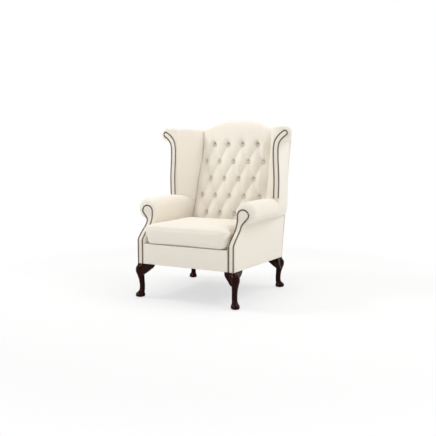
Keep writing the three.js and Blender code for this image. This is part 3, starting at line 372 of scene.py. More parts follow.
def eased(table, place):
    """Smooth curve through (place, value) pairs, without overshoot."""
    xs, ys = np.array(table, float).T
    run = np.diff(xs)
    slope = np.diff(ys) / run
    lean = np.concatenate([[slope[0]], np.zeros(len(xs) - 2), [slope[-1]]])
    same = slope[:-1] * slope[1:] > 0
    lean[1:-1][same] = 2 * slope[:-1][same] * slope[1:][same] / (slope[:-1][same] + slope[1:][same])
    place = np.clip(np.asarray(place, float), xs[0], xs[-1])
    k = np.clip(np.searchsorted(xs, place) - 1, 0, len(run) - 1)
    t = (place - xs[k]) / run[k]
    return (ys[k] * (1 + 2 * t) * (1 - t) ** 2 + ys[k + 1] * t ** 2 * (3 - 2 * t)
            + run[k] * t * (1 - t) * (lean[k] * (1 - t) - lean[k + 1] * t))


def sweep_y(z):
    return mix(body_front, arm_front, eased([(0, 0)] + sweep + [(1100, 1)], z))


def rear_y(z):
    return body_rear + 0.128 * (z - skirt_rear)


def button_plane(z):
    return 285.5 + 0.283 * (z - 901)


def seam_x(z):
    """Where the inside back meets the inside arms and wings."""
    share = (np.minimum(z, seam_top_z) - seam_foot_z) / (seam_top_z - seam_foot_z)
    return mix(seam_foot_x, seam_top_x, share)


def shell(name, rows, material, first_cap=None):
    """A closed skin through rings of points that follow one another, capped at both ends."""
    rows = np.asarray(rows, float)
    count, size = rows.shape[:2]
    faces = [(i * size + j, i * size + (j + 1) % size, (i + 1) * size + (j + 1) % size, (i + 1) * size + j)
             for i in range(count - 1) for j in range(size)]
    faces += first_cap or [tuple(range(size))[::-1]]
    return piece(name, rows, faces + [tuple(range((count - 1) * size, count * size))], material)


def evaluated(made):
    """Applies a piece's modifiers."""
    seen = made.evaluated_get(bpy.context.evaluated_depsgraph_get())
    mesh = bpy.data.meshes.new_from_object(seen)
    made.modifiers.clear()
    old, made.data = made.data, mesh
    if not mesh.materials:
        mesh.materials.append(old.materials[0])
    mesh.polygons.foreach_set("use_smooth", [True] * len(mesh.polygons))
    bpy.data.meshes.remove(old)
    return made


def hollowed(made, *others, spare=0.8):
    """Cuts room for the boards inside a pad, a little wider than the boards."""
    cutters = []
    for other in others:
        shape = bmesh.new()
        shape.from_mesh(other.data)
        bmesh.ops.remove_doubles(shape, verts=shape.verts, dist=1e-5)
        bmesh.ops.recalc_face_normals(shape, faces=shape.faces)
        shape.normal_update()
        away = [(corner, corner.normal * spare * 0.001) for corner in shape.verts]
        for corner, step in away:
            corner.co += step
        mesh = bpy.data.meshes.new("cutter")
        shape.to_mesh(mesh)
        shape.free()
        cutter = bpy.data.objects.new("cutter", mesh)
        bpy.context.scene.collection.objects.link(cutter)
        cut = made.modifiers.new("room", "BOOLEAN")
        cut.operation, cut.solver, cut.object = "DIFFERENCE", "MANIFOLD", cutter
        cutters.append(cutter)
    bpy.context.view_layer.update()
    evaluated(made)
    for cutter in cutters:
        bpy.data.meshes.remove(cutter.data)
    return made


def mirrored(made, name):
    mesh = made.data.copy()
    mesh.name = name
    mesh.vertices.foreach_set("co", (np.array([v.co for v in mesh.vertices]) * (-1, 1, 1)).ravel())
    mesh.flip_normals()
    other = bpy.data.objects.new(name, mesh)
    bpy.context.scene.collection.objects.link(other)
    return other


low_steps = 24


def arm_outline(full):
    """Inner wall, scroll and hidden rear side of the cover, in X and Z; full or at the facing."""
    inner, x, z, radius = (arm_inner, arm_x, arm_z, arm_radius) if full else (
        facing_inner - facing_margin, loop_x, loop_z, loop_radius + facing_margin)
    turn = np.radians(np.linspace(180, -139, 84))
    roll = list(zip(x + radius * np.cos(turn), z + radius * np.sin(turn)))
    low = np.linspace(seat_top, roll[-1][1], low_steps + 1)
    wall = [(inner, height) for height in [*low, *np.linspace(roll[-1][1], z, 6)[1:-1]]]
    hidden = [(arm_inner + arm_pad, height) for height in low[-2::-1]]
    turns = np.concatenate([np.full(len(wall), 180.0), np.degrees(turn), np.full(len(hidden), -180.0)])
    return np.array(wall + roll + hidden), turns


def arm_rows():
    """Rings through the arm's cover from the facing to the back."""
    full, turn = arm_outline(True)
    small = arm_outline(False)[0]
    lift = np.clip((full[:, 1] - seat_top) / (arm_z - seat_top), 0, 1)

    def rise(along):
        return -4.0 * (2 * along - 1) ** 2 * lift

    # Gathers of the cloth where it is pulled over the shoulder into the facing
    gathers = np.sin(np.radians(turn) * 17 + 0.6) * np.clip((full[:, 1] - 470) / 40, 0, 1)
    rows = []
    for angle in np.linspace(0, np.pi / 2, 14):
        share, back = np.sin(angle), shoulder * (1 - np.cos(angle))
        x, z = mix(small[:, 0], full[:, 0], share), mix(small[:, 1], full[:, 1] + rise(0), share)
        pull = 0.9 * np.sin(2 * angle) * gathers
        x, z = x - pull * np.cos(np.radians(turn)), z - pull * np.sin(np.radians(turn))
        rows.append(stacked(x, sweep_y(z) + facing_thick + gap + back, z))
    front = sweep_y(full[:, 1]) + facing_thick + gap + shoulder
    stop = wing_front - gap
    for along in np.linspace(0, 1, 60)[1:]:
        y = mix(front, stop, along)
        left = np.clip((18 - (stop - y)) / 18, 0, 1)
        on_roll = (np.abs(turn) < 178) * np.clip((95 - turn) / 40, 0, 1)
        shrink = 8.0 * (1 - np.sqrt(1 - left ** 2)) * on_roll
        fade = 0.9 * 0.35 * np.exp(-along * 9) * gathers
        x = full[:, 0] - (shrink + fade) * np.cos(np.radians(turn))
        z = full[:, 1] + rise(along) - (shrink + fade) * np.sin(np.radians(turn))
        rows.append(stacked(x, y, z))
    # Inside the wing only the wall and the inner quarter of the scroll go on to the back
    behind = full.copy()
    outer = turn < 90
    path = np.array([(arm_x, arm_z + arm_radius), (336.3, 583), (336.3, 512), (284, 512), (283, 482)])
    steps = np.concatenate([[0], np.cumsum(np.linalg.norm(np.diff(path, axis=0), axis=1))])
    picked = outer & (turn > -140)
    places = np.linspace(0, steps[-1], picked.sum())
    for axis in (0, 1):
        behind[picked, axis] = np.interp(places, steps, path[:, axis])
    behind[:, 1] += rise(1)
    rows.append(stacked(behind[:, 0], stop, behind[:, 1]))
    toward_wall = np.clip(1 - (behind[:, 0] - arm_inner) / arm_radius, 0, 1)
    for along in np.linspace(0, 1, 26):
        y = mix(wing_back, button_plane(behind[:, 1]) + pad_depth, along)
        drawn = (arm_inner - seam_x(behind[:, 1]) - gap) * along * toward_wall
        rows.append(stacked(behind[:, 0] - drawn, y, behind[:, 1]))
    return rows


size = len(arm_outline(True)[0])
strips = [(k, k + 1, size - 2 - k, size - 1 - k) for k in range(low_steps)]
strips.append(tuple(range(low_steps, size - low_steps)))
right_arm = shell("right_arm_cover", arm_rows(), ivory, strips)
hollowed(right_arm, nodes["right_arm_rail"], nodes["right_front_post"])
left_arm = mirrored(right_arm, "left_arm_cover")
for side, arm in (("right", right_arm), ("left", left_arm)):
    settle(arm, "chair", "cover", f"{side}_inside_arm")

# Each inside wing is padded on its inner face and rolls outward along its top edge.
# It is one cover, drawn in to the back's seam and sitting on the arm.

wing_inner, wing_top, wing_roll, wing_tip_x, wing_tip_z = 335.0, 1005.0, 35.0, 415.0, 970.0
wing_foot_x, wing_foot_z, wing_half, hollow_top = 330.8, 461.2, 21.0, 922.0
wing_line = [(0, 0), (0.056, 0.167), (0.154, 0.31), (0.272, 0.381), (0.43, 0.399), (0.587, 0.363),
             (0.685, 0.327), (0.799, 0.315), (0.874, 0.363), (0.921, 0.488), (0.965, 0.714), (1, 1)]
wing_rear = [(0, -0.6), (0.11, 1), (0.24, 0.45), (0.43, 0), (0.8, 0), (0.97, 0.25), (1.05, 1.1)]
# Heights on the facing's curl, and how far out its inner edge lies there
facing_edge = ((890, 935, 964, 985, 995, 1005), (337, 350, 372, 392, 405, 412))


def wing_share(z):
    return (np.asarray(z, float) - wing_foot_z) / (wing_tip_z - wing_foot_z)


def wing_line_x(z):
    return mix(wing_foot_x, wing_tip_x, eased(wing_line, wing_share(z)))


def wing_outer(z, share):
    rear = 344 + 7 * eased(wing_rear, wing_share(z))
    return mix(wing_line_x(z) + wing_half, rear, share)


def back_post_rear(z):
    return rear_y(z) - panel_thick - gap


def bent(start, middle, end, count):
    """Points on a smooth bend through three points."""
    t = np.linspace(0, 1, count)[:, None]
    start, middle, end = map(np.array, (start, middle, end))
    return start * (1 - t) * (1 - 2 * t) + 4 * middle * t * (1 - t) + end * t * (2 * t - 1)


def wing_level(z, inner, outer, full, flush):
    """A ring round the wing at one height. Above the hollow it is full, so it stands over the side
    cover too, and past the roll's foot it lies flush with the outside back."""
    fall = 7.0 * (z - hollow_top) / (wing_top - hollow_top) if full else 0.0
    seam = seam_x(z) + 0.6
    seam_y = button_plane(z) + 7.3
    rear = rear_y(z) if flush else back_post_rear(z) if full else button_plane(z) + pad_depth
    rear_outer = wing_outer(min(z, wing_tip_z), 1) if full else seam + 40
    middle = (mix(inner, seam, 0.5), mix(wing_back, seam_y, 0.42), z - fall / 2)
    # The front edge is round where the facing curls away from it
    across = float(np.clip(np.interp(z, *facing_edge) - inner, 2, 48))
    turn = np.linspace(0, np.pi / 2, 12)[:-1]
    edge = stacked(inner + across * (1 - np.sin(turn)), wing_back + 0.6 * across * (1 - np.cos(turn)), z)
    face = bent((inner, wing_back + 0.6 * across, z), middle, (seam, seam_y, z - fall), 24)
    corners = [(seam, seam_y, z - fall), (seam, rear, z - fall), (rear_outer, rear, z - fall),
               (outer, wing_back, z), (inner + across, wing_back, z)]
    ring = [edge, face]
    for (a, b), count in zip(zip(corners, corners[1:]), (12, 10, 24, 12)):
        share = np.linspace(0, 1, count + 1)[1:, None]
        ring.append(mix(np.array(a), np.array(b), share))
    return np.concatenate(ring)[:-1]


wing_low, wing_pad = 540, 24
rows = [wing_level(z, wing_inner, wing_inner + wing_pad, False, False)
        for z in np.linspace(wing_low, hollow_top - gap, 60)]
rows.append(wing_level(hollow_top, wing_inner, wing_outer(hollow_top, 0), True, False))
for degrees in np.linspace(-75, 90, 24):
    angle = math.radians(degrees)
    inner = wing_inner + 22 * (1 - math.cos(max(0.0, angle)))
    rows.append(wing_level(wing_tip_z + wing_roll * math.sin(angle), inner,
                           wing_tip_x + wing_roll * math.cos(angle), True, degrees > -70))


def plumped(made, foot, top, push):
    """Fills a roll out to its full girth, from nothing at its foot to the push at its top."""
    mesh = made.data
    corners = np.array([corner.co for corner in mesh.vertices]) * 1000
    normals = np.array([corner.normal for corner in mesh.vertices]) * (1, 0, 1)
    share = np.clip((corners[:, 2] - foot) / (top - foot), 0, 1) * (corners[:, 0] > arm_inner + 20)
    mesh.vertices.foreach_set("co", ((corners + normals * (push * share)[:, None]) * 0.001).ravel())
    mesh.update()
    return made


def softened(made, voxel, rounds):
    """Evens out a form's faces and eases its edges, as cloth over foam does."""
    even = made.modifiers.new("even", "REMESH")
    even.mode, even.voxel_size = "VOXEL", voxel * 0.001
    ease = made.modifiers.new("ease", "SMOOTH")
    ease.factor, ease.iterations = 0.5, rounds
    return evaluated(made)


right_wing = softened(shell("right_wing_cover", rows, ivory), voxel=3.6, rounds=14)
plumped(right_wing, foot=900, top=950, push=5.0)
hollowed(right_wing, right_arm, nodes["right_back_post"], nodes["right_wing_upright"],
         nodes["right_wing_rail"], nodes["crest_rail"])
left_wing = mirrored(right_wing, "left_wing_cover")
for side, wing in (("right", right_wing), ("left", left_wing)):
    settle(wing, "chair", "cover", f"{side}_inside_wing")

# The inside back is one deep-buttoned cover over foam. Its folds run from button to button,
# straight up from the top row and straight out at the sides; above, it rolls over the raised crest.

pitch_x, pitch_z, top_row, crown = 103.0, 109.25, 901.0, 27.0
crest_radius, crest_tuck, back_foot = 43, 22, 325.3
crest = [(0, 1), (0.19, 1), (0.34, 0.9), (0.5, 0.69), (0.665, 0.365), (0.845, 0.127), (1, 0), (1.3, 0)]
button_rows = [[((k - (count - 1) / 2) * pitch_x, top_row - row * pitch_z) for k in range(count)]
               for row, count in enumerate((4, 5, 4, 5, 4))]


def crest_z(x):
    return 998 + 63 * eased(crest, np.abs(x) / 296)


def web_y(z):
    """The webbing, strained from the stay rail to the crest rail."""
    return 205 + (332 - 205) / (940 - 390) * (z - 390)


def bow(x):
    """How far the back's sides lie behind its middle."""
    return 22 * (x / 256) ** 2


def fullness(x, z):
    """How far the cloth stands off the buttons' plane, from 0 in a button to 1."""
    x = np.clip(x, -2 * pitch_x, 2 * pitch_x)
    along = x / pitch_x + 0.5
    up = np.clip(z, top_row - 4 * pitch_z, top_row)
    up = (up - top_row) / (2 * pitch_z)
    a, b = [np.sqrt(np.sin(np.pi * (along + lean)) ** 2 + 0.004) - 0.063 for lean in (up, -up)]
    return 0.42 * np.sqrt((a ** 2 + b ** 2) / 2) + 0.6 * (a * b).clip(0, None) ** 0.85


def back_height(x, z):
    """How far the cloth stands out, with sagging fullness, pleats and a dish round each button."""
    sag = 7.0 * fullness(x, z)
    full = crown + 4.0 * np.clip((z - 470) / 60, 0, 1) * np.clip((1000 - z) / 60, 0, 1)
    height = full * fullness(x, z + sag)
    rise = np.clip((z - top_row) / (crest_z(x) - crest_radius - top_row), 0, 1)
    height = mix(height, crown, np.clip(rise * 2.6, 0, 1) ** 0.8)
    # Above the top row a pleat runs up and outward from each button, and widens and fades into the crest
    fading = np.clip(rise * 6, 0, 1) * np.clip(1.15 - rise, 0, 1)
    for button_x, _ in button_rows[0]:
        beside = x - button_x * (1 + 0.1 * rise)
        wide, narrow = np.exp(-(beside / (10 + 16 * rise)) ** 2), np.exp(-(beside / 4) ** 2)
        height = height - (4.6 * wide + 1.2 * narrow) * fading
    for button_x, button_z in sum(button_rows, []):
        side, over = x - button_x, z - button_z
        away = np.hypot(side, over * np.where(over > 0, 0.66, 1))
        turn = np.arctan2(over, side)
        dish = 1 - np.clip((away - 9.5) / 9.0, 0, 1)
        height = height * (1 - dish ** 2) - 5.0 * np.exp(-(away / 10) ** 6)
        height = height + 0.6 * np.sin(9 * turn + button_x) * np.exp(-((away - 20) / 11) ** 2)
    return height


def back_column(x_top, near_edge):
    """One ring through the back at a place across it: up the front, over the crest, down the rear."""
    inset = 7.0 * (1 - math.sqrt(max(0.0, 1 - near_edge ** 2)))
    shoulder_z = float(crest_z(x_top)) - crest_radius
    roll_z = mix(shoulder_z, top_row, 0.3)
    z = np.concatenate([np.linspace(back_foot, seam_foot_z, 22), np.linspace(seam_foot_z, top_row, 216)[1:],
                        np.linspace(top_row, roll_z, 24)[1:]])
    x = x_top * seam_x(z) / seam_top_x
    edge = np.sqrt(np.clip((seam_x(z) - np.abs(x)) / (seam_x(z) - 2 * pitch_x), 0, 1))
    fade = np.clip((z - top_row) / (roll_z - top_row), 0, 1)
    height = back_height(x, z) * mix(edge, 1, fade) - inset * fade
    y = button_plane(z) + bow(x) - height
    front = stacked(x, y, z)
    x0, y0, y1, top = x[-1], y[-1], rear_y(shoulder_z) - inset, shoulder_z + crest_radius - inset
    half, rise = (y1 - button_plane(shoulder_z) + crown) / 2, top - roll_z
    knots = np.array([(y0, roll_z), (y0 + 0.14 * rise, roll_z + 0.5 * rise),
                      (y1 - 1.6 * half, top), (y1 - half, top)])
    t = np.linspace(0, 1, 30)[1:, None]
    rolled = ((1 - t) ** 3 * knots[0] + 3 * t * (1 - t) ** 2 * knots[1]
              + 3 * t ** 2 * (1 - t) * knots[2] + t ** 3 * knots[3])
    turn = np.linspace(np.pi / 2, np.pi, 17)[1:]
    over = stacked(x0, np.concatenate([rolled[:, 0], y1 - half - half * np.cos(turn)]),
                   np.concatenate([rolled[:, 1], shoulder_z + (crest_radius - inset) * np.sin(turn)]))
    tuck, under = shoulder_z - crest_tuck, float(crest_z(x_top)) - 45 + gap
    rear = [(x0, rear_y(height) - inset, height) for height in np.linspace(shoulder_z, tuck, 6)[1:]]
    rear += [(x0, rear_y(height) - panel_thick, height) for height in (tuck, under)]
    rear.append((x0, web_y(under) - 3.0, under))
    rear += [(x_top * seam_x(height) / seam_top_x, web_y(height) - 3.0, height)
             for height in np.linspace(under, back_foot, 24)[1:]]
    return np.concatenate([front, over, rear])


outer_fold, edge_round = 2 * pitch_x, 8
outside = np.linspace(outer_fold, seam_top_x, 20)[1:]
span = np.concatenate([-outside[::-1], np.linspace(-outer_fold, outer_fold, 193), outside])
columns = [back_column(x, max(0.0, (abs(x) - seam_top_x + edge_round) / edge_round)) for x in span]
inside_back = shell("buttoned_back", columns, ivory)
# Painted shade: the cloth is darkened in a ring round each button and in the fold above it, where the pits lie in
# shadow
corners = np.array([corner.co for corner in inside_back.data.vertices]) * 1000
painted_shade = np.zeros(len(corners))
for button_x, button_z in sum(button_rows, []):
    side, over = corners[:, 0] - button_x, corners[:, 2] - button_z
    away = np.hypot(side, over * np.where(over > 0, 0.5, 1))
    painted_shade = np.maximum(painted_shade, 0.5 * np.exp(-(away / 11) ** 4) + 0.1 * np.exp(-(away / 17) ** 2))
inside_back.data.attributes.new("painted fold shade", "FLOAT", "POINT").data.foreach_set("value", painted_shade)
settle(inside_back, "chair", "cover", "inside_back")

# The buttons are moulds covered in the same cloth, tied through the padding with twine
# that is knotted behind the webbing. One row at a time is tied off on a common cord.
# Their cloth is coloured a darker tone than the cover's, as painted shade for the pits they sit in.

shaded_button_cloth = cloth("button cloth with painted shade", (0.80, 0.74, 0.645), (0.74, 0.68, 0.58), (0.86, 0.80, 0.71), 900.0, 0.0002,
                     Sheen_Weight=0.1, Sheen_Roughness=0.5)
button_sides = 28
button_shape = [(5.5, 0.0), (7.4, 0.4), (8.4, 1.4), (8.3, 2.6), (7.3, 4.0), (5.3, 5.0), (2.7, 5.6)]


def button_points(x, z):
    """A domed button with small pleats in the cloth round its rim, and the depth where its twine starts."""
    y = button_plane(z) + bow(x) + 1.6
    turn = np.linspace(0, 2 * np.pi, button_sides, endpoint=False)
    rows = []
    for radius, height in button_shape:
        pleat = 1 + (0.02 * np.sin(14 * turn) if height < 4 else 0)
        rows.append(stacked(x + radius * pleat * np.cos(turn), y - height, z + radius * pleat * np.sin(turn)))
    points = np.concatenate([np.concatenate(rows), [(x, y, z), (x, y - 5.8, z)]])
    faces = []
    last = (len(button_shape) - 1) * button_sides
    middle = last + button_sides
    for j in range(button_sides):
        k = (j + 1) % button_sides
        faces += [(i + j, i + k, i + button_sides + k, i + button_sides + j) for i in range(0, last, button_sides)]
        faces += [(middle, k, j), (middle + 1, last + j, last + k)]
    return points, faces, y


def bar(x0, x1, y0, y1, z0, z1):
    points = np.array([(x, y, z) for x in (x0, x1) for y in (y0, y1) for z in (z0, z1)])
    return points, [(0, 1, 3, 2), (4, 6, 7, 5), (0, 4, 5, 1), (2, 3, 7, 6), (0, 2, 6, 4), (1, 5, 7, 3)]


for number, places in enumerate(button_rows, 1):
    points, faces = [], []
    tie_y = web_y(places[0][1]) - gap
    parts = [button_points(x, z)[:2] for x, z in places]
    parts += [bar(x - 1.2, x + 1.2, button_points(x, z)[2] + 0.2, tie_y, z - 1.2, z + 1.2) for x, z in places]
    parts.append(bar(places[0][0], places[-1][0], tie_y - 2.0, tie_y, places[0][1] - 1.0, places[0][1] + 1.0))
    for more, skin in parts:
        start = sum(len(part) for part in points)
        points.append(more)
        faces += [tuple(i + start for i in face) for face in skin]
    row = piece(f"covered_buttons_{number}", np.concatenate(points), faces, shaded_button_cloth)
    settle(row, "chair", "button", f"button_row_{number}")

# The outside arms, outside wings, front border and outside back are single covers over thin wadding,
# tacked to the frame along their edges, so each lies nearly flat with a softly rounded rim.


def side_x(y):
    return mix(half_front, half_rear, (y - body_front) / (body_rear - body_front))


def skirt(y):
    return mix(skirt_front, skirt_rear, (y - body_front) / (body_rear - body_front))


u, v = grid(120, 50)
level = mix(200.0, wing_foot_z, v)
y = mix(sweep_y(level) + facing_thick + gap, back_post_rear(level), u)
z = mix(skirt(y), wing_foot_z, v)
right_side = panel("right_arm_outside", stacked(side_x(y) - panel_thick, y, z), stacked(side_x(y), y, z),
                   (5.0, 4.0, 1.2, 3.0), ivory, 0.8)
u, v = grid(60, 100)
z = mix(wing_foot_z + 0.3, hollow_top + 8, v)
y = mix(wing_back, back_post_rear(z), u)
outer = wing_outer(z, u)
body = mix(wing_foot_x, side_x(body_rear), u)
drawn = np.clip((z - wing_foot_z) / 28, 0, 1)
inner = mix(np.minimum(outer, body) - panel_thick, outer - panel_thick, drawn)
right_flank = panel("right_wing_outside", stacked(inner, y, z), stacked(outer, y, z),
                    (1.2, 4.0, 5.0, 3.0), ivory, 1.0)
hollowed(right_flank, right_wing, spare=0.3)
for right, part in ((right_side, "outside_arm"), (right_flank, "outside_wing")):
    left = mirrored(right, right.name.replace("right", "left"))
    settle(right, "chair", "cover", f"right_{part}")
    settle(left, "chair", "cover", f"left_{part}")

u, v = grid(110, 30)
x = mix(-277.0, 277.0, u)
z = mix(skirt_front, deck_top, v)
border = panel("front_border_cover", stacked(x, body_front + panel_thick, z), stacked(x, body_front, z), (5.0, 2.0, 4.0, 2.0), ivory, 0.8)
settle(border, "chair", "cover", "front_border")

u, v = grid(120, 110)
tuck_z = 934.8
crest_foot = crest_z(242) - 43 - 22 - gap
top_x = mix(-1, 1, u) * 350.7
top_z = np.where(np.abs(top_x) < 242.3, crest_z(np.minimum(np.abs(top_x), 242)) - 43 - 22 - gap, tuck_z)
z = mix(skirt_rear, top_z, v)
half = np.where(z < wing_foot_z, mix(335.0, 339.9, (z - skirt_rear) / (wing_foot_z - skirt_rear)), wing_outer(z, 1))
x = mix(-1, 1, u) * mix(half, 350.7, v ** 6)
outside_back = panel("outside_back_cover", stacked(x, rear_y(z) - panel_thick, z), stacked(x, rear_y(z), z),
                     (5.0, 4.0, 3.0, 4.0), ivory)
settle(outside_back, "chair", "cover", "outside_back")

# The facings are padded boards that close the arms and wings in front. The arm facing is
# keyhole-shaped and swept back above the seat; the wing facing curls outward at its tip.

keyhole_outer = [(200, 317.7), (443, 317.7), (459, 321.5), (480, 340), (497, 356), (506, 358.3)]
u, v = grid(26, 190)
z = mix(skirt_front, loop_z + loop_radius + facing_margin, v)
radius = loop_radius + facing_margin
round_part = np.sqrt(np.clip(radius ** 2 - np.clip(z - loop_z, 0, None) ** 2, 0, None))
inner = np.where(z > loop_z, loop_x - round_part, 283.3 - facing_margin)
outer = np.where(z > loop_z, loop_x + round_part, eased(keyhole_outer, z))
x = mix(inner, outer, u)
right_front = panel("right_arm_front", stacked(x, sweep_y(z) + facing_thick, z), stacked(x, sweep_y(z), z),
                    (3.5,) * 4, ivory)

line_z = np.linspace(wing_foot_z, wing_tip_z, 400)
line_x = wing_line_x(line_z)
travel = np.concatenate([[0], np.cumsum(np.hypot(np.diff(line_x), np.diff(line_z)))])


def beside_line(along, aside):
    """A point beside the wing's centre line: how far along it, and how far to its inner side."""
    x, z = np.interp(along, travel, line_x), np.interp(along, travel, line_z)
    near = np.clip(along, 4, travel[-1] - 4)
    dx = np.interp(near + 4, travel, line_x) - np.interp(near - 4, travel, line_x)
    dz = np.interp(near + 4, travel, line_z) - np.interp(near - 4, travel, line_z)
    size = np.hypot(dx, dz)
    past = np.clip(along - travel[-1], 0, None)
    return x - aside * dz / size + past * dx / size, z + aside * dx / size + past * dz / size


body_part = np.linspace(0, travel[-1], 150)
turn = np.linspace(0, np.pi / 2, 16)[1:]
along = np.concatenate([body_part, travel[-1] + wing_half * np.sin(turn)])
width = np.concatenate([np.full(150, wing_half), wing_half * np.cos(turn)])
across = mix(1, -1, closer(22))
x, z = beside_line(along[:, None] * np.ones(22), width[:, None] * across)
z = np.maximum(z, wing_foot_z + gap)
right_curl = panel("right_wing_front", stacked(x, wing_front + facing_thick, z), stacked(x, wing_front, z),
                   (3.5,) * 4, ivory)
for right, part in ((right_front, "arm_facing"), (right_curl, "wing_facing")):
    left = mirrored(right, right.name.replace("right", "left"))
    settle(right, "chair", "cover", f"right_{part}")
    settle(left, "chair", "cover", f"left_{part}")

# The nail heads are close-nailed round each facing, a thumb's breadth apart at most,
# in antique bronze whose crowns have been rubbed a little brighter.

bronze = metal("antique bronze", (0.028, 0.017, 0.012), (0.12, 0.082, 0.058), 260.0, 0.36)


def nail_tree():
    """Geometry nodes: a domed head at even steps along a path, standing out along each point's lean."""
    tree = bpy.data.node_groups.new("heads along a path", "GeometryNodeTree")
    tree.interface.new_socket("Path", in_out="INPUT", socket_type="NodeSocketGeometry")
    labels = [("Pitch", 0.011), ("Head radius", 0.0046), ("Head height", 0.0026)]
    for label, value in labels:
        tree.interface.new_socket(label, in_out="INPUT", socket_type="NodeSocketFloat").default_value = value
    tree.interface.new_socket("Finish", in_out="INPUT", socket_type="NodeSocketMaterial")
    tree.interface.new_socket("Heads", in_out="OUTPUT", socket_type="NodeSocketGeometry")
    start, end = tree.nodes.new("NodeGroupInput"), tree.nodes.new("NodeGroupOutput")
    curve = tree.nodes.new("GeometryNodeMeshToCurve")
    even = tree.nodes.new("GeometryNodeResampleCurve")
    even.mode = "LENGTH"
    lean = tree.nodes.new("GeometryNodeInputNamedAttribute")
    lean.data_type = "FLOAT_VECTOR"
    lean.inputs["Name"].default_value = "lean"
    turn = tree.nodes.new("FunctionNodeAlignRotationToVector")
    turn.axis = "Z"
    ball = tree.nodes.new("GeometryNodeMeshUVSphere")
    ball.inputs["Segments"].default_value = 10
    ball.inputs["Rings"].default_value = 6
    flat = tree.nodes.new("ShaderNodeCombineXYZ")
    flat.inputs[0].default_value = flat.inputs[1].default_value = 1.0
    share = tree.nodes.new("ShaderNodeMath")
    share.operation = "DIVIDE"
    press = tree.nodes.new("GeometryNodeTransform")
    spread = tree.nodes.new("GeometryNodeInstanceOnPoints")
    real = tree.nodes.new("GeometryNodeRealizeInstances")
    smooth = tree.nodes.new("GeometryNodeSetShadeSmooth")
    dress = tree.nodes.new("GeometryNodeSetMaterial")
    for a, b in ((start.outputs["Path"], curve.inputs["Mesh"]), (curve.outputs[0], even.inputs["Curve"]),
                 (start.outputs["Pitch"], even.inputs["Length"]), (even.outputs[0], spread.inputs["Points"]),
                 (lean.outputs[0], turn.inputs["Vector"]), (turn.outputs[0], spread.inputs["Rotation"]),
                 (start.outputs["Head radius"], ball.inputs["Radius"]), (start.outputs["Head height"], share.inputs[0]),
                 (start.outputs["Head radius"], share.inputs[1]), (share.outputs[0], flat.inputs[2]),
                 (ball.outputs[0], press.inputs["Geometry"]), (flat.outputs[0], press.inputs["Scale"]),
                 (press.outputs[0], spread.inputs["Instance"]), (spread.outputs[0], real.inputs[0]),
                 (real.outputs[0], smooth.inputs[0]), (smooth.outputs[0], dress.inputs["Geometry"]),
                 (start.outputs["Finish"], dress.inputs["Material"]), (dress.outputs[0], end.inputs["Heads"])):
        tree.links.new(a, b)
    return tree


close_nailing = nail_tree()


def nailed(name, runs, pitch=0.011, radius=0.0054, height=0.003, material=bronze):
    """Domed heads along runs of (point, lean) pairs."""
    mesh = bpy.data.meshes.new(name)
    points = [point for run in runs for point, _ in run]
    steps, start = [], 0
    for run in runs:
        steps += [(start + k, start + k + 1) for k in range(len(run) - 1)]
        start += len(run)
    mesh.from_pydata((np.array(points) * 0.001).tolist(), steps, [])
    lean = mesh.attributes.new("lean", "FLOAT_VECTOR", "POINT")
    lean.data.foreach_set("vector", np.array([away for run in runs for _, away in run], float).ravel())
    made = bpy.data.objects.new(name, mesh)
    bpy.context.scene.collection.objects.link(made)
    heads = made.modifiers.new("nailing", "NODES")
    heads.node_group = close_nailing
    sockets = {item.name: item.identifier for item in close_nailing.interface.items_tree if item.in_out == "INPUT"}
    heads[sockets["Pitch"]] = pitch
    heads[sockets["Head radius"]] = radius
    heads[sockets["Head height"]] = height
    heads[sockets["Finish"]] = material
    mesh.materials.append(material)
    return evaluated(made)


def swept(x, z):
    slope = (sweep_y(z + 0.5) - sweep_y(z - 0.5)) / 1.0
    size = math.hypot(1, slope)
    return (float(x), float(sweep_y(z)), float(z)), (0.0, -1 / size, float(slope) / size)


stud_outer = [(200, 311.7), (444, 311.9), (456, 315), (472, 326.5), (488, 340.5), (500, 349.5), (506, 352)]
up = [(283.3, z) for z in np.arange(skirt_front + 6, loop_z, 4.0)]
turn = np.linspace(np.pi, 0, 28)
loop = [(loop_x + loop_radius * math.cos(a), loop_z + loop_radius * math.sin(a)) for a in turn]
down = [(float(eased(stud_outer, z)), z) for z in np.arange(loop_z - 2, skirt_front + 5, -4.0)]
arm_nails = nailed("right_arm_nails", [[swept(x, z) for x, z in up + loop + down]])
ahead = (0.0, -1.0, 0.0)
sides = []
for aside in (15.0, -15.0):
    x, z = beside_line(np.linspace(0, travel[-1], 240), aside)
    sides.append([((a, wing_front, b), ahead) for a, b in zip(x, z) if b > 586])
turn = np.linspace(0, np.pi, 20)[1:-1]
x, z = beside_line(travel[-1] + 15 * np.sin(turn), 15 * np.cos(turn))
tip = [((a, wing_front, b), ahead) for a, b in zip(x, z)]
wing_nails = nailed("right_wing_nails", [sides[0] + tip + sides[1][::-1]])
for right, part in ((arm_nails, "arm_studs"), (wing_nails, "wing_studs")):
    left = mirrored(right, right.name.replace("right", "left"))
    settle(right, "chair", "stud", f"right_{part}")
    settle(left, "chair", "stud", f"left_{part}")

# The loose seat cushion is a boxed case over foam: a crowned top, sides drawn in between its
# corners, and seams round its upper and lower edges. It closes with a zip at the rear.

cushion_half, cushion_front, cushion_low, cushion_high = 262.0, -378.0, 325.3, 441.3
zip_length, zip_width, zip_z, slot_depth = 400.0, 22.0, 383.3, 15.0
cushion_crown = 14.0


def cushion_rear(z):
    return button_plane(z) - crown - 4


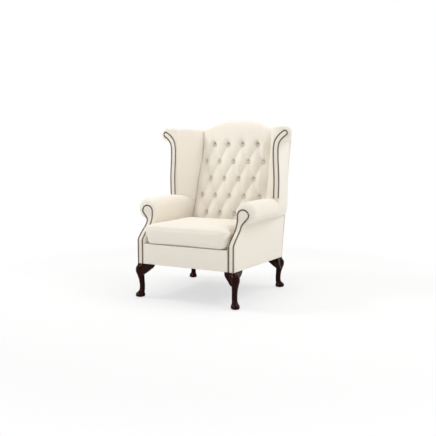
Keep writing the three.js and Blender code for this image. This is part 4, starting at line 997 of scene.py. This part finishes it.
def cushion_row(z, inset, share, corner=38.0, pinch=5.0):
    """The cushion's outline at one height."""
    y0, y1 = cushion_front + inset, cushion_rear(min(z, cushion_high)) - inset
    middle, depth, half = (y0 + y1) / 2, (y1 - y0) / 2 * share, (cushion_half - inset) * share
    corner *= share
    points = []
    for quarter, (sx, sy) in enumerate(((1, 1), (-1, 1), (-1, -1), (1, -1))):
        for angle in np.linspace(quarter, quarter + 1, 11) * np.pi / 2:
            points.append((sx * (half - corner) + corner * math.cos(angle),
                           middle + sy * (depth - corner) + corner * math.sin(angle), z))
        last, count = np.array(points[-1]), 36
        nx, ny = ((-1, 1), (-1, -1), (1, -1), (1, 1))[quarter]
        first = np.array((nx * (half - corner) + corner * math.cos((quarter + 1) * np.pi / 2),
                          middle + ny * (depth - corner) + corner * math.sin((quarter + 1) * np.pi / 2), z))
        away = np.array((math.cos((quarter + 1) * np.pi / 2), math.sin((quarter + 1) * np.pi / 2), 0))
        for place in np.linspace(0, 1, count)[1:-1]:
            points.append(tuple(mix(last, first, place) - away * pinch * share * (1 - (2 * place - 1) ** 2)))
    return np.array(points)


side = [(0, 0.3), (0.03, 0.14), (0.09, 0.03), (0.3, 0), (0.7, 0), (0.86, 0.08), (0.96, 0.3), (1, 0.6)]
rows = [cushion_row(mix(cushion_low, cushion_high, rise), float(eased(side, rise)) * 38, 1.0) for rise in closer(40, 0.6)]
for share in np.cos(np.linspace(0, np.pi / 2, 30))[1:-1]:
    rows.append(cushion_row(cushion_high + cushion_crown * (1 - share ** 2.2), 0.6 * 38, share))
cushion = shell("loose_cushion", rows, ivory)


def plump(made, voxel, pressure, frames, cap):
    """Fills a case: the cloth swells under pressure for a short while, no point moving past the cap."""
    scene = bpy.context.scene
    even = made.modifiers.new("even", "REMESH")
    even.mode, even.voxel_size = "VOXEL", voxel * 0.001
    evaluated(made)
    before = np.array([corner.co for corner in made.data.vertices])
    swell = made.modifiers.new("fill", "CLOTH")
    swell.settings.use_pressure = True
    swell.settings.uniform_pressure_force = pressure
    swell.settings.effector_weights.gravity = 0.0
    swell.settings.quality = 5
    swell.settings.tension_stiffness = swell.settings.compression_stiffness = 25
    swell.point_cache.frame_start, swell.point_cache.frame_end = 1, frames
    for step in range(1, frames + 1):
        scene.frame_set(step)
    evaluated(made)
    scene.frame_set(1)
    after = np.array([corner.co for corner in made.data.vertices])
    move = after - before
    size = np.linalg.norm(move, axis=1, keepdims=True)
    made.data.vertices.foreach_set("co", (before + move * np.minimum(1, cap * 0.001 / np.maximum(size, 1e-9))).ravel())
    made.data.update()
    return made


softened(cushion, 6.0, 8)
plump(cushion, 5.0, 3.0, 12, 2.5)
finer = cushion.modifiers.new("finer", "SUBSURF")
finer.levels = finer.render_levels = 1
evaluated(cushion)

# Filled, the case takes up the room between the arms and stands as high as its crown.
# Its underside, which swells, lies flat on the deck.
corners = np.array([corner.co for corner in cushion.data.vertices]) * 1000
room = np.array([(-cushion_half, cushion_front - 1.5, cushion_low),
                 (cushion_half, cushion_rear(cushion_low) + 3, cushion_high + cushion_crown)])
underside_swell = 2.4
low, high = corners.min(axis=0) + (0, 0, underside_swell), corners.max(axis=0)
corners = mix(room[0], room[1], (corners - low) / (high - low))
# Its front corners swell out ahead of the arm facings, which lean back there
ahead_of_arm = np.clip((sweep_y(corners[:, 2]) - 4 - corners[:, 1]) / 24, 0, 1)
at_height = np.clip((corners[:, 2] - 334) / 22, 0, 1) * np.clip((446 - corners[:, 2]) / 24, 0, 1)
swelling = 15 * ahead_of_arm * at_height
corners[:, 0] += np.sign(corners[:, 0]) * swelling * (np.abs(corners[:, 0]) / cushion_half) ** 4
# Seams: the cloth dips along the upper and lower edges, and the case stays off the deck and the back
centre = np.array([0, (cushion_front + 96) / 2, 385.0])
for seam_z in (cushion_low + 9, cushion_high - 4):
    outer = np.maximum(np.abs(corners[:, 0]) / cushion_half, np.abs(corners[:, 1] - centre[1]) / 237)
    near = np.exp(-((corners[:, 2] - seam_z) / 1.9) ** 2) * (outer > 0.85)
    pull = corners - centre
    pull[:, 2] = 0
    pull /= np.maximum(np.linalg.norm(pull, axis=1, keepdims=True), 1)
    corners -= pull * near[:, None] * 1.6
corners[:, 2] = np.clip(corners[:, 2], cushion_low, 458.5)
rear = cushion_rear(corners[:, 2])
corners[:, 1] = np.minimum(corners[:, 1], rear)
# A slot in the rear takes the zip
beside = np.maximum(np.abs(corners[:, 2] - zip_z) - zip_width / 2, np.abs(corners[:, 0]) - zip_length / 2)
slot = np.clip(1 - (beside - 1) / 2.5, 0, 1) * (corners[:, 1] > rear - slot_depth)
corners[:, 1] = mix(corners[:, 1], rear - slot_depth, slot)
corners[:, 0] = np.clip(corners[:, 0], -265.5 - swelling, 265.5 + swelling)
cushion.data.vertices.foreach_set("co", (corners * 0.001).ravel())
cushion.data.update()
settle(cushion, "cushion", "cover", "seat_cushion")

# The zip is a nylon coil on woven tape, let into the cushion's rear, with one cast slider.

tape = cloth("zip tape", (0.74, 0.69, 0.58), (0.68, 0.63, 0.53), (0.78, 0.73, 0.63), 1600.0, 0.0001)
nylon = metal("moulded nylon", (0.62, 0.56, 0.46), (0.70, 0.64, 0.54), 900.0, 0.4)
nylon.node_tree.nodes["Principled BSDF"].inputs["Metallic"].default_value = 0.0
brass = metal("cast slider", (0.30, 0.20, 0.09), (0.62, 0.46, 0.22), 180.0, 0.25)
nodes["zip_slider"].material_slots[0].material = brass
height = np.linspace(-zip_width / 2, zip_width / 2, 23)
floor_y = cushion_rear(zip_z + height) - slot_depth + 0.8
rows = []
for x in np.linspace(-zip_length / 2, zip_length / 2, 81):
    wave = 0.12 * math.sin(x / 9) + 0.25 * np.exp(-(height / 2.2) ** 2)
    face = stacked(x, floor_y + wave, zip_z + height)
    rows.append(np.concatenate([face, face[::-1] + (0, 0.6, 0)]))
tapes = shell("zip_tapes", rows, tape)
settle(tapes, "cushion", "zip", "cushion_zip")
run = np.linspace(-zip_length / 2 + 4, zip_length / 2 - 4, 200)
teeth_y = cushion_rear(zip_z) - slot_depth + 1.7
teeth = nailed("zip_teeth", [[((x, teeth_y, zip_z + aside), (0.0, 1.0, 0.0)) for x in run + aside]
                             for aside in (-0.9, 0.9)], pitch=0.0022, radius=0.0009, height=0.0009, material=nylon)
settle(teeth, "cushion", "zip")

# The cabriole legs are turned and carved from solid mahogany, stained nearly black and lacquered:
# a swelling knee with an ear each way under the rails, a slim ankle and a round pad foot.

knee, ear_thick, ear_depth, foot_z = 30.0, 30.0, 24.0, 2.8
leg_form = np.array([
    (0, -0.5, 0.73, 0.83, 1), (0.03, -0.5, 0.84, 0.96, 1), (0.085, -0.5, 0.8, 0.92, 1), (0.14, -0.66, 0.6, 0.68, 1),
    (0.2, -0.86, 0.53, 0.56, 1), (0.3, -0.9, 0.53, 0.53, 1), (0.45, -0.82, 0.55, 0.56, 1),
    (0.6, -0.65, 0.66, 0.7, 1), (0.72, -0.5, 0.82, 0.86, 1), (0.82, -0.56, 0.91, 0.96, 0.8),
    (0.9, -0.72, 0.89, 0.91, 0.4), (0.955, -0.95, 0.8, 0.82, 0.1), (1, -1.15, 0.74, 0.74, 0)])
ear_long, ear_short = 107, 65
long_tip = [(1, 0), (1, 0.5), (0.97, 0.88), (0.91, 1.25), (0.65, 2.17), (0.45, 2.8)]
short_tip = [(1, 0), (1, 0.88), (0.92, 1.5), (0.64, 2.55)]
ear_root = [(1, 3.3), (0.75, 3.5), (0.45, 2.9), (0.22, 2.1), (0.08, 1.4), (0, 1), (0, 0)]
mahogany, tree, shader = finish("lacquered mahogany", Specular_IOR_Level=0.15, Specular_Tint=(1.0, 0.5, 0.46))
figure, pores = used(tree, grain, Place=placed(tree, (8.0, 8.0, 1.2)), Figure_size=5.0, Pore_size=70.0)
stain = tone(tree, figure, (0.005, 0.0008, 0.0007), (0.016, 0.0022, 0.0018))
tree.links.new(tone(tree, pores, stain, (0.006, 0.0016, 0.0015)), shader["Base Color"])
tree.links.new(between(tree, figure, 0.0, 1.0, 0.13, 0.19), shader["Roughness"])
raised(tree, shader, pores, 0.00008, 0.3)


points = np.array([(x, y, z) for x in (-500, 500) for y in (-500, 500) for z in (skirt(y) - gap, 400)])
above_skirt = piece("above_skirt", points, bar(0, 1, 0, 1, 0, 1)[1], mahogany)


def leg(name, corner_x, corner_y, sx, sy, splay):
    top = skirt(corner_y) + 8
    rows = []
    for rise in closer(70, 0.3):
        centre, across, along, spread = [float(eased(leg_form[:, (0, k)], rise)) for k in (1, 2, 3, 4)]
        middle = knee * (centre - 1 / math.sqrt(2) + 0.5)
        turn = np.linspace(0, 2 * np.pi, 40, endpoint=False)
        out, aside = middle + knee * along * np.cos(turn), knee * across * np.sin(turn)
        rows.append(stacked(corner_x + sx * ((out - aside) * math.sqrt(0.5) + spread * splay[0]),
                            corner_y + sy * ((out + aside) * math.sqrt(0.5) + spread * splay[1]),
                            mix(foot_z, top, rise)))
    made = shell(name, rows, mahogany)
    shape = bmesh.new()
    shape.from_mesh(made.data)
    # Each leg has a long ear on one side of its knee and a short one on the other
    ears = [(ear_long, long_tip), (ear_short, short_tip)][::sx * sy]
    for axis, (length, tips) in enumerate(ears):
        outline = [(length * place, top - drop * ear_depth) for place, drop in tips]
        outline += [(knee * place, top - drop * ear_depth) for place, drop in ear_root]
        sides = []
        for deep in (1.0, ear_thick):
            ring = []
            for away, height in outline:
                x, y = (away, deep) if axis == 0 else (deep, away)
                ring.append(shape.verts.new((np.array((corner_x - sx * x, corner_y - sy * y, height)) * 0.001)))
            sides.append(ring)
        shape.faces.new(sides[0])
        shape.faces.new(sides[1][::-1])
        for k in range(len(outline)):
            n = (k + 1) % len(outline)
            shape.faces.new((sides[0][n], sides[0][k], sides[1][k], sides[1][n]))
    bmesh.ops.recalc_face_normals(shape, faces=shape.faces)
    shape.to_mesh(made.data)
    shape.free()
    return hollowed(softened(made, 2.1, 8), above_skirt, spare=0)


for side, sx in (("right", 1), ("left", -1)):
    for end, corner_x, corner_y, sy, splay in (("front", half_front, body_front, -1, (10.0, -5.0)),
                                               ("rear", half_rear, body_rear, 1, (0.0, 14.0))):
        made = leg(f"{side}_{end}_cabriole", sx * corner_x, corner_y, sx, sy, splay)
        settle(made, "chair", "leg", f"{side}_{end}_leg")
bpy.data.meshes.remove(above_skirt.data)

# Each foot stands on a hard black glide, nailed into its underside.

moulded, tree, shader = finish("moulded glide", Roughness=0.5)
fleck = clouds(tree, placed(tree), 400.0, 3.0)
tree.links.new(tone(tree, fleck, (0.012, 0.012, 0.013), (0.03, 0.03, 0.032)), shader["Base Color"])
tree.links.new(between(tree, fleck, 0.3, 0.7, 0.42, 0.6), shader["Roughness"])
raised(tree, shader, fleck, 0.0001, 0.4)
for side in ("right", "left"):
    for end in ("front", "rear"):
        nodes[f"{side}_{end}_glide"].material_slots[0].material = moulded

# The dust cover is black non-woven cloth, stretched under the rails and stapled along its edge.

lining, tree, shader = finish("non-woven lining", Roughness=0.95)
fibres = clouds(tree, placed(tree), 650.0, 5.0, 0.7)
tree.links.new(tone(tree, fibres, (0.010, 0.010, 0.011), (0.045, 0.045, 0.047)), shader["Base Color"])
tree.links.new(between(tree, fibres, 0.3, 0.7, 0.85, 1.0), shader["Roughness"])
raised(tree, shader, fibres, 0.0002, 0.7)
cover_half, post_half = 311.7, (283.0, 284.8)
cover_y, post_y = (-364.2, 271.2), (-336.9, 209.1)
across = np.linspace(-post_half[0], post_half[0], 61)
edge = np.array([post_half[1], 298.0, cover_half])
across = np.concatenate([-edge[::-1], across, edge])
along = np.concatenate([[cover_y[0], -350.0], np.linspace(*post_y, 61), [230.0, 250.0, cover_y[1]]])
x, y = np.meshgrid(across, along)
rim = np.clip(np.minimum(cover_half - np.abs(x), np.minimum(y - cover_y[0], cover_y[1] - y)), 0, None)
sag = 2.2 * (1 - (x / cover_half) ** 2) * np.clip(1 - ((y + 46) / 318) ** 2, 0, 1)
pucker = 0.22 * np.cos(2 * np.pi * (x + y) / 36) * np.exp(-rim / 26)
points = np.stack([x, y, skirt(y) + 0.4 - sag + pucker], -1).reshape(-1, 3)
cells = []
for row in range(len(along) - 1):
    for column in range(len(across) - 1):
        middle_x, middle_y = abs(across[column] + across[column + 1]) / 2, (along[row] + along[row + 1]) / 2
        in_front = middle_x > post_half[0] and middle_y < post_y[0]
        if not (in_front or (middle_x > post_half[1] and middle_y > post_y[1])):
            first = row * len(across) + column
            cells.append((first, first + len(across), first + len(across) + 1, first + 1))
cover = piece("underside_cover", points, cells, lining)
thick = cover.modifiers.new("thick", "SOLIDIFY")
thick.thickness, thick.offset = 0.0008, 0.0
evaluated(cover)
settle(cover, "chair", "lining", "dust_cover")


def staple_tree():
    """Geometry nodes: a short wire laid along a path at even steps."""
    tree = bpy.data.node_groups.new("stapling", "GeometryNodeTree")
    tree.interface.new_socket("Path", in_out="INPUT", socket_type="NodeSocketGeometry")
    for label, value in (("Step", 0.036), ("Length", 0.0095), ("Wire radius", 0.0005)):
        tree.interface.new_socket(label, in_out="INPUT", socket_type="NodeSocketFloat").default_value = value
    tree.interface.new_socket("Finish", in_out="INPUT", socket_type="NodeSocketMaterial")
    tree.interface.new_socket("Staples", in_out="OUTPUT", socket_type="NodeSocketGeometry")
    start, end = tree.nodes.new("NodeGroupInput"), tree.nodes.new("NodeGroupOutput")
    curve = tree.nodes.new("GeometryNodeMeshToCurve")
    even = tree.nodes.new("GeometryNodeResampleCurve")
    even.mode = "LENGTH"
    run = tree.nodes.new("GeometryNodeInputTangent")
    turn = tree.nodes.new("FunctionNodeAlignRotationToVector")
    turn.axis = "Z"
    wire = tree.nodes.new("GeometryNodeMeshCylinder")
    wire.inputs["Vertices"].default_value = 8
    wire.inputs["Side Segments"].default_value = 3
    spread = tree.nodes.new("GeometryNodeInstanceOnPoints")
    real = tree.nodes.new("GeometryNodeRealizeInstances")
    dress = tree.nodes.new("GeometryNodeSetMaterial")
    for a, b in ((start.outputs["Path"], curve.inputs["Mesh"]), (curve.outputs[0], even.inputs["Curve"]),
                 (start.outputs["Step"], even.inputs["Length"]), (even.outputs[0], spread.inputs["Points"]),
                 (run.outputs[0], turn.inputs["Vector"]), (turn.outputs[0], spread.inputs["Rotation"]),
                 (start.outputs["Length"], wire.inputs["Depth"]), (start.outputs["Wire radius"], wire.inputs["Radius"]),
                 (wire.outputs["Mesh"], spread.inputs["Instance"]), (spread.outputs[0], real.inputs[0]),
                 (real.outputs[0], dress.inputs["Geometry"]), (start.outputs["Finish"], dress.inputs["Material"]),
                 (dress.outputs[0], end.inputs["Staples"])):
        tree.links.new(a, b)
    return tree


wire = metal("staple wire", (0.24, 0.24, 0.25), (0.5, 0.5, 0.5), 200.0, 0.3)
stapling, hem = staple_tree(), 9.0
staples = []
for (x0, y0), (x1, y1) in (((-270, cover_y[0] + hem), (270, cover_y[0] + hem)), ((-270, cover_y[1] - hem), (270, cover_y[1] - hem)),
                           ((cover_half - hem, -322), (cover_half - hem, 196)), ((hem - cover_half, -322), (hem - cover_half, 196))):
    share = np.linspace(0, 1, 60)
    y = mix(y0, y1, share)
    staples.append(stacked(mix(x0, x1, share), y, skirt(y) - 0.2))
mesh = bpy.data.meshes.new("cover_staples")
steps = [(row * 60 + k, row * 60 + k + 1) for row in range(4) for k in range(59)]
mesh.from_pydata((np.concatenate(staples) * 0.001).tolist(), steps, [])
mesh.materials.append(wire)
made = bpy.data.objects.new("cover_staples", mesh)
bpy.context.scene.collection.objects.link(made)
legs_of_wire = made.modifiers.new("stapling", "NODES")
legs_of_wire.node_group = stapling
sockets = {item.name: item.identifier for item in stapling.interface.items_tree if item.in_out == "INPUT"}
for label, value in (("Step", 0.036), ("Length", 0.0095), ("Wire radius", 0.0005), ("Finish", wire)):
    legs_of_wire[sockets[label]] = value
settle(evaluated(made), "chair", None)

# The studio: a pale floor that keeps the chair's shadow, a white surround and soft light from above right.

floor_mesh = bpy.data.meshes.new("studio_floor")
floor_mesh.from_pydata([(-40, -40, 0), (40, -40, 0), (40, 40, 0), (-40, 40, 0)], [], [(0, 1, 2, 3)])
floor = bpy.data.objects.new("studio_floor", floor_mesh)
bpy.context.scene.collection.objects.link(floor)
pale = bpy.data.materials.new("pale floor")
pale.use_nodes = True
tree = pale.node_tree
tree.nodes.clear()
out = tree.nodes.new("ShaderNodeOutputMaterial")
paint = tree.nodes.new("ShaderNodeBsdfDiffuse")
paint.inputs["Color"].default_value = (0.93, 0.93, 0.93, 1)
glow = tree.nodes.new("ShaderNodeEmission")
glow.inputs["Color"].default_value = (1, 1, 1, 1)
glow.inputs["Strength"].default_value = 1.0
where = tree.nodes.new("ShaderNodeTexCoord")
far = tree.nodes.new("ShaderNodeVectorMath")
far.operation = "LENGTH"
tree.links.new(where.outputs["Object"], far.inputs[0])
rays = tree.nodes.new("ShaderNodeLightPath")
near_share = sum_of(tree, "MULTIPLY", rays.outputs["Is Camera Ray"], 0.64)
share = sum_of(tree, "MAXIMUM", near_share, between(tree, far.outputs["Value"], 0.9, 2.0))
blend = tree.nodes.new("ShaderNodeMixShader")
tree.links.new(share, blend.inputs[0])
tree.links.new(paint.outputs[0], blend.inputs[1])
tree.links.new(glow.outputs[0], blend.inputs[2])
tree.links.new(blend.outputs[0], out.inputs["Surface"])
floor_mesh.materials.append(pale)

scene = bpy.context.scene
world = bpy.data.worlds.new("studio")
scene.world = world
world.use_nodes = True
tree = world.node_tree
tree.nodes.clear()
out = tree.nodes.new("ShaderNodeOutputWorld")
fill = tree.nodes.new("ShaderNodeBackground")
fill.inputs["Color"].default_value = (1.0, 0.995, 0.985, 1)
fill.inputs["Strength"].default_value = 0.66
seen = tree.nodes.new("ShaderNodeBackground")
seen.inputs["Color"].default_value = (1, 1, 1, 1)
seen.inputs["Strength"].default_value = 1.0
rays = tree.nodes.new("ShaderNodeLightPath")
looks = sum_of(tree, "MAXIMUM", rays.outputs["Is Camera Ray"],
               sum_of(tree, "MAXIMUM", rays.outputs["Is Glossy Ray"], rays.outputs["Is Transmission Ray"]))
blend = tree.nodes.new("ShaderNodeMixShader")
tree.links.new(looks, blend.inputs[0])
tree.links.new(fill.outputs[0], blend.inputs[1])
tree.links.new(seen.outputs[0], blend.inputs[2])
tree.links.new(blend.outputs[0], out.inputs["Surface"])


def lamp(name, place, aim, size, power, lights_cloth=True):
    data = bpy.data.lights.new(name, "AREA")
    data.shape, data.size, data.energy = "SQUARE", size, power
    made = bpy.data.objects.new(name, data)
    made.location = place
    toward = np.array(aim) - np.array(place)
    flat = math.hypot(toward[0], toward[1])
    made.rotation_euler = (math.atan2(flat, -toward[2]), 0.0, math.atan2(-toward[0], toward[1]))
    made.visible_camera = False
    made.visible_diffuse = lights_cloth
    scene.collection.objects.link(made)


lamp("key", (2.4, 1.0, 3.7), (0.0, 0.0, 0.4), 2.0, 49.0)
lamp("top", (-0.6, -0.7, 4.3), (0.0, 0.0, 0.3), 2.6, 8.0)
lamp("side", (2.2, -0.9, 2.2), (-0.2, 0.0, 0.6), 1.2, 6.0)
lamp("left", (-1.9, -0.8, 2.7), (0.0, 0.3, 0.75), 0.7, 26.0)
lamp("gloss", (-0.75, -2.6, 0.8), (0.36, -0.37, 0.2), 0.8, 45.0, False)

camera = bpy.data.objects.new("camera", bpy.data.cameras.new("camera"))
camera.data.lens, camera.data.sensor_width = 50.0, 36.0
camera.location = (1.7529, -3.2643, 0.8654)
camera.rotation_euler = (math.radians(83.658), 0.0, math.radians(27.947))
scene.collection.objects.link(camera)
scene.camera = camera
scene.view_settings.view_transform = "Standard"
